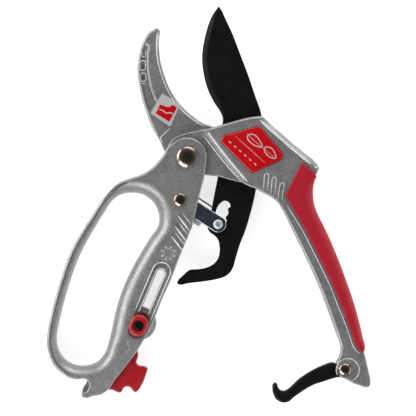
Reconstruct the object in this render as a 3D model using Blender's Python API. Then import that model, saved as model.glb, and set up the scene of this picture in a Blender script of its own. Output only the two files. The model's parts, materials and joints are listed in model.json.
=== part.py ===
"""Bypass ratchet pruning shears with a finger loop, lying flat.

Frame: metres. The origin is on the main pivot's axis, at the level the shears
rest on. +X points to the fixed handle, +Y to the blade tip, +Z up and out of
the front face. Every length below is in millimetres and is scaled by MM.
"""

import math

import bpy
import bmesh

MM = 0.001

# ---- driving dimensions (mm) ------------------------------------------------
MAIN_PIVOT = (0.0, 0.0)
BLADE_PIVOT = (28.0, 4.0)
LINK_PIVOT = (-3.8, -23.4)
LINK_PIN = (17.0, -36.9)
LATCH_PIVOT = (86.8, -116.8)
SLIDER_SCREW = (-26.8, -92.6)
SLOT_DIR = (0.3924, 0.9198)
SLOT_TOP = (-14.6, -64.0)
SLOT_WIDTH = 4.4
SLOT_LENGTH = 34.0

HANDLE_Z = (0.0, 16.8)
CHANNEL_Z = (3.7, 14.3)
LUG_Z = (4.0, 14.0)
HEAD_Z = (1.5, 16.5)
HOOK_Z = (4.0, 7.9)
BLADE_Z = (8.2, 11.0)
BLADE_GAP_Z = (7.9, 11.3)
GRIP_Z = (0.0, 18.0)
FORK_Z = (5.7, 12.3)
LATCH_Z = (6.0, 12.0)
BUMPER_Z = (4.0, 14.0)
LINK_REAR_Z = (5.6, 7.8)
LINK_FRONT_Z = (11.5, 13.6)

SHANK_R = 4.0
SMALL_SHANK_R = 2.5
RUNNING_GAP = 0.1
PLATE_GAP = 0.3


# ---- 2-D helpers ------------------------------------------------------------
def tangent(before, here, after):
    """The curve's direction at a point, weighted towards its shorter span."""
    d, e = math.dist(before[:2], here[:2]), math.dist(here[:2], after[:2])
    return [((after[c] - here[c]) / e * d + (here[c] - before[c]) / d * e) / (d + e)
            for c in (0, 1)]


def spline(points, per=3, closed=True):
    """Points on a smooth curve through the given ones.

    A point with a third entry is a sharp corner.
    """
    n = len(points)
    out = []
    for i in range(n if closed else n - 1):
        a, b = points[i], points[(i + 1) % n]
        chord = math.dist(a[:2], b[:2])
        straight = [(b[c] - a[c]) / chord for c in (0, 1)]
        ends = []
        for p, q, r in ((points[i - 1], a, b), (a, b, points[(i + 2) % n])):
            stop = not closed and (q is points[0] or q is points[-1])
            ends.append(straight if len(q) > 2 or stop else tangent(p, q, r))
        for k in range(per):
            t = k / per
            out.append(tuple(
                a[c] * (1 + 2 * t) * (1 - t) ** 2 + b[c] * t * t * (3 - 2 * t)
                + chord * (ends[0][c] * t * (1 - t) ** 2 - ends[1][c] * t * t * (1 - t))
                for c in (0, 1)))
    if not closed:
        out.append(tuple(points[-1][:2]))
    return out


def arc(centre, radius, start, end, count):
    """Points on an arc, with angles in degrees."""
    step = (end - start) / (count - 1)
    angles = [math.radians(start + step * k) for k in range(count)]
    return [(centre[0] + radius * math.cos(a), centre[1] + radius * math.sin(a))
            for a in angles]


def circle(centre, radius, count=32):
    """Points round a whole circle."""
    return arc(centre, radius, 0.0, 360.0 * (count - 1) / count, count)


def capsule(start, end, radius, count=9):
    """A slot's outline between two end centres."""
    turn = math.degrees(math.atan2(end[1] - start[1], end[0] - start[0]))
    return (arc(end, radius, turn - 90, turn + 90, count)
            + arc(start, radius, turn + 90, turn + 270, count))


def rounded(corners, radius, count=5):
    """A polygon with its corners rounded."""
    out = []
    for i, p in enumerate(corners):
        q, r = corners[i - 1], corners[(i + 1) % len(corners)]
        a = [(q[c] - p[c]) / math.dist(p, q) for c in (0, 1)]
        b = [(r[c] - p[c]) / math.dist(p, r) for c in (0, 1)]
        half = math.acos(a[0] * b[0] + a[1] * b[1]) / 2
        size = math.hypot(a[0] + b[0], a[1] + b[1])
        reach = radius / math.sin(half)
        centre = [p[c] + (a[c] + b[c]) / size * reach for c in (0, 1)]
        start = [p[c] + a[c] * radius / math.tan(half) - centre[c] for c in (0, 1)]
        first = math.degrees(math.atan2(start[1], start[0]))
        turn = math.degrees(math.pi - 2 * half)
        cross = a[0] * b[1] - a[1] * b[0]
        out += arc(centre, radius, first, first - math.copysign(turn, cross), count)
    return out


def area(outline):
    """The signed area, positive when the points run anticlockwise."""
    pairs = zip(outline, outline[1:] + outline[:1])
    return sum(p[0] * q[1] - q[0] * p[1] for p, q in pairs) / 2


def normals(outline):
    """Each point's outward direction, lengthened at corners."""
    sign = 1.0 if area(outline) > 0 else -1.0
    n = len(outline)
    out = []
    for i, p in enumerate(outline):
        sides = []
        for q, r in ((outline[i - 1], p), (p, outline[(i + 1) % n])):
            dx, dy = r[0] - q[0], r[1] - q[1]
            size = math.hypot(dx, dy) or 1e-9
            sides.append((sign * dy / size, -sign * dx / size))
        mx, my = sides[0][0] + sides[1][0], sides[0][1] + sides[1][1]
        size = math.hypot(mx, my) or 1e-9
        mx, my = mx / size, my / size
        lean = max(0.5, mx * sides[0][0] + my * sides[0][1])
        out.append((mx / lean, my / lean))
    return out


def grown(outline, amount):
    """The outline moved outward by an amount, or by one amount for each point."""
    amounts = amount if isinstance(amount, list) else [amount] * len(outline)
    return [(p[0] + n[0] * d, p[1] + n[1] * d)
            for p, n, d in zip(outline, normals(outline), amounts)]


def along(point, distance):
    """A point moved up the slot's direction."""
    return (point[0] + SLOT_DIR[0] * distance, point[1] + SLOT_DIR[1] * distance)


def turned(point, centre, degrees):
    """A point turned about a centre."""
    a = math.radians(degrees)
    x, y = point[0] - centre[0], point[1] - centre[1]
    return (centre[0] + x * math.cos(a) - y * math.sin(a),
            centre[1] + x * math.sin(a) + y * math.cos(a))


# ---- solids -----------------------------------------------------------------
MATERIALS = {}


def material(name, colour, metallic, roughness):
    """A Principled material, made once."""
    if name not in MATERIALS:
        mat = bpy.data.materials.new(name)
        mat.use_nodes = True
        shader = mat.node_tree.nodes["Principled BSDF"]
        shader.inputs["Base Color"].default_value = (*colour, 1.0)
        shader.inputs["Metallic"].default_value = metallic
        shader.inputs["Roughness"].default_value = roughness
        MATERIALS[name] = mat
    return MATERIALS[name]


def from_mesh(name, verts, faces, mat=None, smooth=False):
    """An object from vertices in mm, with its faces turned outward."""
    bm = bmesh.new()
    made = [bm.verts.new([c * MM for c in v]) for v in verts]
    for face in faces:
        bm.faces.new([made[i] for i in face])
    bmesh.ops.recalc_face_normals(bm, faces=bm.faces)
    for face in bm.faces:
        face.smooth = smooth and len(face.verts) <= 4
    mesh = bpy.data.meshes.new(name)
    bm.to_mesh(mesh)
    bm.free()
    obj = bpy.data.objects.new(name, mesh)
    bpy.context.scene.collection.objects.link(obj)
    if mat:
        mesh.materials.append(mat)
    return obj


def loft(name, rings, mat=None, smooth=False, closed=False):
    """A solid through rings of equally many points, capped or joined end to end."""
    n = len(rings[0])
    verts = [p for ring in rings for p in ring]
    count = len(rings)
    faces = []
    for k in range(count if closed else count - 1):
        a, b = k * n, ((k + 1) % count) * n
        faces += [(a + i, a + (i + 1) % n, b + (i + 1) % n, b + i) for i in range(n)]
    if not closed:
        faces += [tuple(range(n)), tuple(range((count - 1) * n, count * n))]
    return from_mesh(name, verts, faces, mat, smooth)


def prism(name, outline, z, mat=None, low=0.0, high=0.0):
    """An outline made thick, with its lower and upper edges chamfered."""
    rings = []
    if low:
        rings.append([(*p, z[0]) for p in grown(outline, -low)])
    rings.append([(*p, z[0] + low) for p in outline])
    rings.append([(*p, z[1] - high) for p in outline])
    if high:
        rings.append([(*p, z[1]) for p in grown(outline, -high)])
    return loft(name, rings, mat)


def lathe(name, profile, centre, mat=None, count=32):
    """A profile of (radius, z) turned about a vertical axis.

    A profile that starts and ends on the axis is capped there. Any other is
    joined end to end and makes a ring.
    """
    on_axis = profile[0][0] == 0.0
    body = profile[1:-1] if on_axis else profile
    rings = [[(*p, z) for p in circle(centre, r, count)] for r, z in body]
    return loft(name, rings, mat, True, not on_axis)


def wire(name, path, radius, mat, sides=6):
    """A round wire along 3-D points."""
    rings = []
    for i, p in enumerate(path):
        q, r = path[max(i - 1, 0)], path[min(i + 1, len(path) - 1)]
        d = [r[c] - q[c] for c in range(3)]
        size = math.sqrt(sum(c * c for c in d))
        d = [c / size for c in d]
        flat = math.hypot(d[0], d[1]) or 1e-9
        u = (-d[1] / flat, d[0] / flat, 0.0)
        w = (d[1] * u[2] - d[2] * u[1], d[2] * u[0] - d[0] * u[2],
             d[0] * u[1] - d[1] * u[0])
        angles = [2 * math.pi * k / sides for k in range(sides)]
        rings.append([tuple(p[c] + radius * (u[c] * math.cos(a) + w[c] * math.sin(a))
                            for c in range(3)) for a in angles])
    return loft(name, rings, mat, True)


def apply(obj, other, operation):
    """Add an exact boolean to an object and keep its tool as a hidden cutter."""
    modifier = obj.modifiers.new(operation.title(), "BOOLEAN")
    modifier.operation = operation
    modifier.solver = "EXACT"
    modifier.object = other
    other.hide_render = True
    other.display_type = "WIRE"
    return obj


def bake(obj):
    """Turn an object's modifiers into its mesh and remove their tools."""
    tools = [m.object for m in obj.modifiers if m.type == "BOOLEAN"]
    graph = bpy.context.evaluated_depsgraph_get()
    mesh = bpy.data.meshes.new_from_object(obj.evaluated_get(graph))
    obj.modifiers.clear()
    obj.data = mesh
    for tool in tools:
        bpy.data.objects.remove(tool, do_unlink=True)
    return obj


def shape(obj, add=(), cut=()):
    """Join solids to an object, then cut others out of it."""
    for other in add:
        bake(apply(obj, other, "UNION"))
    for other in cut:
        bake(apply(obj, other, "DIFFERENCE"))
    return obj


def hole(centre, radius, z=(-2.0, 24.0), count=32):
    """A round cutter."""
    return prism("hole", circle(centre, radius, count), z)


def put_origin(names, centre):
    """Move objects' origins onto a vertical joint axis, leaving them in place."""
    for name in names:
        obj = bpy.data.objects[name]
        for vert in obj.data.vertices:
            vert.co.x -= centre[0] * MM
            vert.co.y -= centre[1] * MM
        obj.location = (centre[0] * MM, centre[1] * MM, 0.0)


# ---- outlines (mm) ----------------------------------------------------------
HOOK_INNER = [
    (-15.0, 70.0), (-15.3, 66.7), (-15.5, 60.5), (-14.9, 53.8), (-12.9, 46.1),
    (-9.9, 38.3), (-6.2, 32.1), (-2.6, 27.7), (2.5, 23.1), (8.0, 19.2),
    (13.5, 17.2),
]
HOOK_OUTER = [
    (-12.3, 2.5), (-15.6, 9.8), (-18.4, 14.3), (-22.4, 23.8), (-24.9, 31.7),
    (-26.6, 39.0), (-27.4, 44.0), (-27.6, 49.1), (-27.0, 54.7), (-25.6, 60.9),
    (-23.9, 65.2), (-22.0, 68.3), (-19.1, 70.4), (-16.6, 71.4),
]
HEAD_TOP = [
    (12.5, 15.9), (20.0, 18.1), (27.8, 20.4), (33.9, 21.9), (39.0, 22.5),
    (41.3, 22.7, "c"), (46.1, 18.0), (52.3, 12.8), (58.4, 7.3), (64.5, 2.4),
    (70.6, -2.8), (72.5, -5.6), (71.4, -9.0, "c"),
]
ARM_HIDDEN = [
    (67.4, -12.5), (65.4, -17.0), (65.1, -24.0), (66.3, -30.5), (68.5, -36.5),
    (72.5, -45.0), (77.0, -54.5), (81.6, -66.0), (86.0, -77.5), (89.6, -88.0),
    (92.4, -98.0), (94.6, -104.0), (97.4, -107.6, "c"),
]
ARM_END = [
    (98.5, -112.0), (99.7, -117.5), (100.8, -123.0), (100.3, -126.0),
    (98.4, -126.6), (95.0, -125.6), (91.8, -124.6), (88.2, -122.6),
    (84.1, -120.9, "c"), (82.6, -117.0), (82.2, -112.6, "c"), (84.3, -108.2),
]
ARM_INNER = [
    (84.4, -104.7), (81.3, -95.5), (77.6, -85.0), (72.5, -71.5), (67.5, -60.0),
    (62.5, -49.5), (57.5, -39.5), (52.5, -29.0), (49.6, -24.6), (46.1, -21.8),
    (42.5, -19.9), (38.2, -17.6), (34.0, -16.0),
]
GRIP_TOP = [(53.8, -21.0, "c"), (63.1, -2.9, "c"), (71.2, -10.3, "c")]
GRIP_RIGHT = [
    (69.7, -14.5), (69.3, -19.5), (70.0, -26.0), (72.5, -32.5), (75.8, -39.0),
    (80.3, -49.0), (83.8, -57.5), (87.5, -67.5), (91.0, -77.5), (94.2, -88.5),
    (96.7, -99.0), (97.8, -105.1),
]
GRIP_LEFT = [
    (97.0, -107.0), (95.6, -106.8), (93.7, -105.1), (92.3, -102.8),
    (90.0, -96.0), (87.7, -89.5), (84.9, -82.7), (79.8, -70.0), (75.0, -60.0),
    (70.0, -50.0), (65.0, -40.0), (60.0, -31.5), (56.4, -25.2),
]
BLADE_EDGE = [
    (17.3, 83.2, "c"), (14.0, 78.6), (11.7, 73.4), (10.3, 68.6), (9.1, 63.4),
    (8.3, 57.8), (8.2, 52.5), (8.8, 47.4), (10.1, 41.2), (12.1, 35.5),
    (15.0, 30.0), (18.5, 24.5), (19.6, 21.6), (19.4, 18.0),
]
BLADE_REST = [
    (18.9, 8.0), (18.6, -2.0), (16.9, -10.5), (15.0, -20.0), (13.5, -28.0),
    (11.9, -35.0), (11.4, -39.6), (12.4, -41.2), (14.5, -42.7), (16.8, -45.2),
    (17.8, -49.5), (17.8, -52.5), (16.8, -56.0), (14.0, -59.1), (9.8, -61.0),
    (5.2, -61.7), (1.2, -62.1), (-0.6, -63.4), (-2.9, -65.6), (-5.2, -68.0),
    (-5.4, -69.6), (-4.0, -70.2), (0.0, -69.5), (9.8, -68.3), (17.2, -66.9),
    (20.8, -65.7), (23.6, -63.5), (25.4, -60.3), (26.8, -55.2), (29.0, -48.0),
    (32.1, -40.1), (34.8, -31.0), (36.6, -24.0), (38.2, -16.0), (40.6, -4.0),
    (41.6, 8.0), (41.5, 18.0), (40.6, 24.6), (37.6, 33.4), (34.1, 43.8),
    (29.1, 57.1), (24.5, 69.0), (21.2, 76.0), (18.8, 81.2),
]
WINDOW = [
    (18.0, -25.6), (20.6, -24.0), (23.0, -24.9), (23.9, -26.9), (22.3, -28.6),
    (22.7, -30.3), (22.2, -31.8), (21.2, -32.9), (21.7, -34.9), (20.6, -37.2),
    (19.0, -39.0), (16.6, -39.4), (14.7, -37.8), (14.7, -34.6), (15.6, -30.6),
    (16.7, -27.4),
]
LOOP_RIGHT = [
    (10.5, -3.0), (9.6, -9.8), (7.2, -19.0), (5.2, -28.0), (2.7, -38.0),
    (-1.0, -47.0), (-5.0, -57.0), (-10.0, -69.8), (-13.3, -77.0),
    (-16.6, -85.2), (-19.4, -92.6), (-22.9, -98.9), (-28.1, -107.4),
    (-34.2, -115.7), (-39.7, -122.6), (-43.8, -128.2), (-47.4, -130.5),
    (-52.0, -131.4), (-56.2, -132.5), (-57.9, -131.6), (-58.2, -129.7, "c"),
    (-55.1, -128.4), (-53.8, -126.0), (-54.7, -122.9), (-57.5, -121.7, "c"),
]
LOOP_LEFT = [
    (-61.7, -122.2), (-65.4, -121.1), (-70.2, -117.9), (-73.6, -114.1),
    (-76.2, -108.1), (-77.3, -101.5), (-76.6, -94.5), (-74.7, -85.0),
    (-71.6, -74.7), (-68.5, -62.7), (-64.2, -51.8), (-58.7, -41.9),
    (-52.4, -32.0), (-46.5, -23.0), (-42.2, -18.1), (-38.2, -14.4),
    (-31.8, -11.7), (-25.1, -9.5), (-20.2, -6.5), (-15.9, -2.2),
    (-12.8, 2.1), (-10.4, 6.0),
]
FINGER_HOLE = [
    (-67.4, -78.0), (-63.0, -63.9), (-57.9, -51.3), (-51.3, -39.5),
    (-45.5, -30.0), (-40.9, -23.4), (-36.3, -20.4), (-30.0, -19.5),
    (-23.9, -20.7), (-18.6, -24.9), (-15.8, -30.6), (-15.8, -37.2),
    (-20.0, -43.6), (-25.1, -51.7), (-31.2, -62.7), (-36.4, -74.4),
    (-39.9, -86.5), (-42.4, -98.0), (-45.6, -108.0), (-48.8, -112.0),
    (-54.5, -114.5), (-61.0, -114.4), (-66.6, -111.7), (-70.6, -106.4),
    (-71.9, -100.4), (-70.3, -90.0),
]
CHANNEL = [
    (-22.0, 14.0), (-13.8, 2.6), (-12.8, -1.5), (-11.9, -6.0), (-11.6, -14.0),
    (-11.8, -24.0), (-12.0, -35.0), (-15.6, -43.4), (-21.8, -53.4),
    (-28.0, -64.4), (-33.0, -76.0), (-36.4, -87.4), (-38.9, -99.0),
    (-41.9, -108.5), (-45.6, -116.0), (-47.6, -124.0), (-46.8, -136.0),
    (-10.0, -136.0), (30.0, -60.0), (34.0, 20.0), (0.0, 24.0),
]
BUMPER = [
    (-27.0, -108.9), (-27.5, -111.2), (-28.0, -113.0), (-26.4, -114.7),
    (-23.8, -115.0), (-22.0, -115.9), (-22.8, -120.0), (-24.4, -124.2),
    (-26.4, -127.6), (-28.2, -129.2), (-29.6, -128.9), (-30.5, -127.7),
    (-31.7, -126.6), (-33.3, -126.2), (-34.9, -126.9), (-35.8, -128.6),
    (-36.9, -129.6), (-38.2, -129.4), (-41.0, -128.2), (-45.9, -127.2),
    (-47.0, -124.0), (-45.0, -116.2), (-41.4, -108.8), (-38.4, -103.6),
    (-33.0, -103.0), (-28.6, -104.6),
]
LABEL = [(16.2, 10.7), (39.7, 17.3), (54.6, -0.3), (35.4, -8.9)]
LATCH = [
    (79.9, -112.9), (75.1, -114.3), (70.0, -116.6), (65.2, -119.4),
    (61.6, -121.9), (58.4, -124.9), (55.6, -127.4), (53.3, -128.5),
    (51.0, -127.8), (50.0, -126.4), (49.4, -124.5), (48.2, -124.0),
    (47.1, -124.8), (46.8, -127.2), (47.3, -130.4), (48.7, -133.1),
    (51.0, -134.7), (53.8, -135.2), (56.1, -134.5), (58.8, -132.2),
    (62.0, -129.9), (66.1, -127.2), (70.3, -125.1), (75.3, -123.5),
    (79.9, -122.0), (84.5, -121.2),
]
STICKER = [(-13.8, 35.3), (-3.9, 29.2), (-9.3, 16.7), (-20.3, 24.3)]


# ---- the fixed side ---------------------------------------------------------
def frame_casting(mat):
    """Hook, pivot lug, fork head and handle arm, in one casting."""
    inner = HOOK_INNER + [(22.0, 14.0), (20.0, -4.0), (4.0, -8.0), (-8.0, -5.0)]
    hook = prism("frame_casting", spline(HOOK_OUTER + inner, 2), HOOK_Z, mat, 0.8, 0.5)
    lug_top = [(-11.0, 4.6), (-9.3, 8.2), (-5.6, 11.5), (0.0, 13.3), (6.0, 14.6)]
    lug_right = [(12.5, 15.9), (22.0, 16.0), (36.0, 4.0), (35.0, -14.0)]
    lug_low = [(24.1, -12.6), (17.0, -10.6), (11.0, -9.9)]
    boss = arc(MAIN_PIVOT, 10.2, 300, 200, 7)
    lug_outline = spline(lug_top + lug_right + lug_low + boss, 2)
    lug = prism("lug", lug_outline, LUG_Z, None, 0.4, 0.5)
    step = [(30.6, -14.3, "c"), (19.3, -0.4), (8.2, 14.6, "c")]
    outline = HEAD_TOP + ARM_HIDDEN + ARM_END + ARM_INNER + step
    head = prism("head", spline(outline, 2), HEAD_Z, None, 0.9, 0.9)
    gap = [
        (10.8, 24.0), (11.6, 14.0), (13.6, 6.0), (14.8, 0.0), (13.0, -9.0),
        (9.0, -24.0), (12.0, -38.0), (54.8, -38.0), (53.4, -31.5),
        (52.4, -27.0), (51.2, -22.0), (49.4, -16.0), (46.4, -6.5),
        (42.6, 6.5), (42.3, 15.0), (42.0, 30.0),
    ]
    fork = [
        (60.0, -106.0), (86.0, -106.6), (93.4, -110.0), (95.6, -117.0),
        (94.6, -140.0), (60.0, -140.0),
    ]
    pocket = lathe("pocket", [(5.4, 3.0), (9.0, 3.0), (9.0, 9.6), (5.4, 9.6)],
                   MAIN_PIVOT)
    leg_slot = prism("leg_slot", [(-9.5, -3.0), (9.0, -3.0), (9.0, -13.0),
                                  (-12.0, -13.0)], (3.0, 6.4))
    label_seat = prism("seat", grown(rounded(LABEL, 2.8), 0.3), (15.7, 18.0))
    cuts = [
        label_seat,
        prism("gap", gap, BLADE_GAP_Z),
        prism("fork", fork, FORK_Z),
        hole(MAIN_PIVOT, SHANK_R + RUNNING_GAP),
        hole(BLADE_PIVOT, SHANK_R + RUNNING_GAP),
        hole(LATCH_PIVOT, SMALL_SHANK_R + RUNNING_GAP),
        hole(LATCH_PIVOT, 3.8, (15.6, 18.2)),
        pocket, leg_slot,
    ]
    return shape(hook, [lug, head], cuts)


def grip(mat):
    """A soft cover that wraps the arm's outer side, front and back."""
    top = spline(GRIP_TOP + GRIP_RIGHT + GRIP_LEFT, 2)
    first, last = 4, 2 * (len(GRIP_TOP) + len(GRIP_RIGHT)) + 1
    inner = top[last + 2:]
    round_r, side_z = [], []
    for i, p in enumerate(top):
        ease = max(0.0, min(1.0, (i - first) / 4, (last - i) / 4))
        room = 0.62 * min(math.dist(p, q) for q in inner)
        round_r.append(1.0 + (max(1.0, min(6.0, room)) - 1.0) * ease)
        side_z.append(17.3 - 8.3 * ease)
    high = GRIP_Z[1]
    front = []
    for degrees in (0, 22, 44, 66, 90):
        a = math.radians(degrees)
        inset = [-r * (1 - math.cos(a)) for r in round_r]
        ring = grown(top, inset)
        front.append([(*p, s + (high - s) * math.sin(a)) for p, s in zip(ring, side_z)])
    back = [[(x, y, high - z) for x, y, z in ring] for ring in front]
    body = loft("grip", back[::-1] + front, mat)
    arm = HEAD_TOP + ARM_HIDDEN + ARM_END + ARM_INNER + [(34.0, 0.0, "c")]
    core = grown(spline(arm, 2), PLATE_GAP)
    cutter = prism("core", core, (HEAD_Z[0] - PLATE_GAP, HEAD_Z[1] + PLATE_GAP))
    return shape(body, (), [cutter])


def rivet(name, centre, shank, head, back, front, top, mat):
    """A rivet with a flat back head and a domed front one."""
    dome = [(head * math.cos(math.radians(a)), front + 0.4 + (top - front - 0.4)
             * math.sin(math.radians(a))) for a in (0, 25, 50, 72)]
    profile = [
        (0.0, back), (head * 1.02, back), (head * 1.02, back + 0.9),
        (shank, back + 0.9), (shank, front), (head, front), *dome, (0.0, top),
    ]
    return lathe(name, profile, centre, mat)


def return_spring(mat):
    """The coil round the main pivot that opens the handles, with both legs."""
    path = []
    turns, steps = 3.0, 12
    for k in range(int(turns * steps) + 1):
        a = math.radians(250.0 + 360.0 * k / steps)
        path.append((7.2 * math.cos(a), 7.2 * math.sin(a), 8.6 - 1.3 * k / steps))
    path.append((-5.0, -9.0, 4.8))
    path.append((-8.6, -13.5, 4.8))
    return wire("return_spring", path, 0.5, mat)


# ---- the loop handle --------------------------------------------------------
def finger_cutter():
    """The finger hole, flared widely on the palm bar and a little on the guard."""
    outline = spline(FINGER_HOLE, 2)
    flare = []
    for x, y in outline:
        bar = min(1.0, max(0.0, (x + 46.0 - (y + 20.0) * 0.12) / 8.0))
        low = min(1.0, max(0.0, (-92.0 - y) / 16.0))
        flare.append(1.8 + 5.8 * bar * (1.0 - low))
    middle = sum(HANDLE_Z) / 2
    half = (HANDLE_Z[1] - HANDLE_Z[0]) / 2
    front = []
    for degrees in (0, 25, 48, 70, 90):
        a = math.radians(degrees)
        ring = grown(outline, [f * (1 - math.cos(a)) for f in flare])
        front.append([(*p, middle + half * math.sin(a)) for p in ring])
    front.append([(x, y, z + 1.0) for x, y, z in front[-1]])
    back = [[(x, y, 2 * middle - z) for x, y, z in ring] for ring in front]
    return loft("finger_cutter", back[::-1] + front[1:])


def loop_handle(mat):
    """Two cheeks, the channel between them and the finger loop."""
    round_top = arc(MAIN_PIVOT, 10.8, 132, 12, 9)
    outline = spline(round_top + LOOP_RIGHT + LOOP_LEFT, 2)
    body = prism("loop_handle", outline, HANDLE_Z, mat, 1.2, 0.8)
    slot_low = along(SLOT_TOP, -SLOT_LENGTH)
    cuts = [
        finger_cutter(),
        prism("channel", spline(CHANNEL, 2), CHANNEL_Z),
        prism("slot", capsule(slot_low, SLOT_TOP, SLOT_WIDTH / 2), (-2.0, 20.0)),
        prism("recess", capsule(slot_low, along(SLOT_TOP, 1.2), 4.6), (15.8, 20.0)),
        hole(MAIN_PIVOT, SHANK_R + RUNNING_GAP),
        hole(MAIN_PIVOT, 6.2, (-2.0, 1.2)),
        hole(LINK_PIVOT, SMALL_SHANK_R + RUNNING_GAP),
        hole(LINK_PIVOT, 4.0, (-2.0, 1.2)),
    ]
    return shape(body, (), cuts)


def tube(name, centre, inner, outer, z, mat):
    """A plain sleeve or washer."""
    profile = [(inner, z[0]), (outer, z[0]), (outer, z[1]), (inner, z[1])]
    return lathe(name, profile, centre, mat)


# ---- the blade --------------------------------------------------------------
def blade(mat):
    """Bypass blade and its tail, with a ground bevel and a stepped window."""
    outline = spline(BLADE_EDGE + BLADE_REST, 2)
    sharp = 2 * (len(BLADE_EDGE) - 2)
    inset, side = [], []
    for i in range(len(outline)):
        if i == 0:
            inset.append(-0.6)
            side.append(9.0)
        elif i <= sharp:
            wide = min(1.0, i / 4, (sharp - i) / 4)
            inset.append(-0.25 - 2.4 * wide)
            side.append(BLADE_Z[1] - 0.25 - 2.2 * wide)
        else:
            inset.append(-0.25)
            side.append(BLADE_Z[1] - 0.25)
    rings = [
        [(*p, BLADE_Z[0]) for p in grown(outline, -0.15)],
        [(*p, BLADE_Z[0] + 0.15) for p in outline],
        [(*p, s) for p, s in zip(outline, side)],
        [(*p, BLADE_Z[1]) for p in grown(outline, inset)],
    ]
    body = loft("blade", rings, mat)
    cuts = [
        prism("window", spline(WINDOW, 2), (6.0, 13.0)),
        hole(BLADE_PIVOT, SHANK_R + RUNNING_GAP, (6.0, 13.0)),
    ]
    return shape(body, (), cuts)


# ---- the ratchet link -------------------------------------------------------
def link_plate(name, z, mat):
    """One strap of the link."""
    body = prism(name, capsule(LINK_PIVOT, LINK_PIN, 4.5, 11), z, mat, 0.25, 0.4)
    cuts = [
        hole(LINK_PIVOT, SMALL_SHANK_R + RUNNING_GAP),
        hole(LINK_PIN, 1.4 + RUNNING_GAP, count=24),
    ]
    return shape(body, (), cuts)


def link_screw(mat):
    """The cross-recessed head over the link pin."""
    body = lathe("link_screw", [(0.0, 13.8), (2.6, 13.8), (2.6, 14.6), (2.1, 15.1),
                                (0.0, 15.1)], LINK_PIN, mat, 28)
    cuts = []
    for degrees in (20.0, 110.0):
        corners = [(-1.4, -0.3), (1.4, -0.3), (1.4, 0.3), (-1.4, 0.3)]
        moved = [(LINK_PIN[0] + x, LINK_PIN[1] + y) for x, y in corners]
        cuts.append(prism("cross", [turned(p, LINK_PIN, degrees) for p in moved],
                          (14.4, 16.0)))
    return shape(body, (), cuts)


def link_spring(mat):
    """Coil round the link rivet, with the arm that presses on the link."""
    path = []
    steps = 12
    for k in range(2 * steps + 1):
        a = math.radians(-300.0 + 360.0 * k / steps)
        path.append((LINK_PIVOT[0] + 4.2 * math.cos(a),
                     LINK_PIVOT[1] + 4.2 * math.sin(a), 8.6 + 0.9 * k / steps))
    path.append((3.2, -20.2, 10.6))
    path.append((6.4, -22.6, 12.5))
    path.append((14.6, -28.0, 12.5))
    return wire("link_spring", path, 0.42, mat)


# ---- the slider -------------------------------------------------------------
def slider_parts(red, dark, black, steel):
    """Base in the recess, tongue through the slot, knob, screw and rear plate."""
    low, up = along(SLIDER_SCREW, -2.6), along(SLIDER_SCREW, 4.0)
    base = prism("slider_base", capsule(low, up, 4.2), (16.1, 17.2), dark, 0.1, 0.3)
    tongue = prism("tongue", capsule(low, along(SLIDER_SCREW, 2.6), 1.85), (11.2, 16.6))
    shape(base, [tongue], [hole(SLIDER_SCREW, 1.3, count=24)])
    outline = capsule(along(SLIDER_SCREW, -1.1), along(SLIDER_SCREW, 1.3), 5.0, 13)
    rings = []
    for inset, z in ((0.3, 17.5), (0.0, 17.8), (0.0, 19.4), (0.5, 20.2), (1.3, 20.6)):
        rings.append([(*p, z) for p in grown(outline, -inset)])
    knob = loft("slider_knob", rings, red)
    shape(knob, (), [hole(SLIDER_SCREW, 3.0, (19.0, 24.0), 28),
                     hole(SLIDER_SCREW, 1.3, (16.0, 20.0), 24)])
    profile = [(0.0, 8.8), (1.15, 8.8), (1.15, 19.2), (2.75, 19.2), (2.75, 19.9),
               (2.2, 20.4), (0.0, 20.4)]
    screw = lathe("slider_screw", profile, SLIDER_SCREW, black, 28)
    centre = along(SLIDER_SCREW, 1.4)
    plate = prism("slider_plate", circle(centre, 9.4, 56), BLADE_Z, steel, 0.4, 0.5)
    shape(plate, (), [hole(SLIDER_SCREW, 1.3, count=24)])
    ring = prism("slider_washer", circle(SLIDER_SCREW, 6.2), (13.4, 14.0), steel)
    opening = capsule(along(SLIDER_SCREW, -2.8), along(SLIDER_SCREW, 2.8), 2.1)
    shape(ring, (), [prism("opening", opening, (12.0, 15.0))])
    return base, knob, screw, plate, ring


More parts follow.
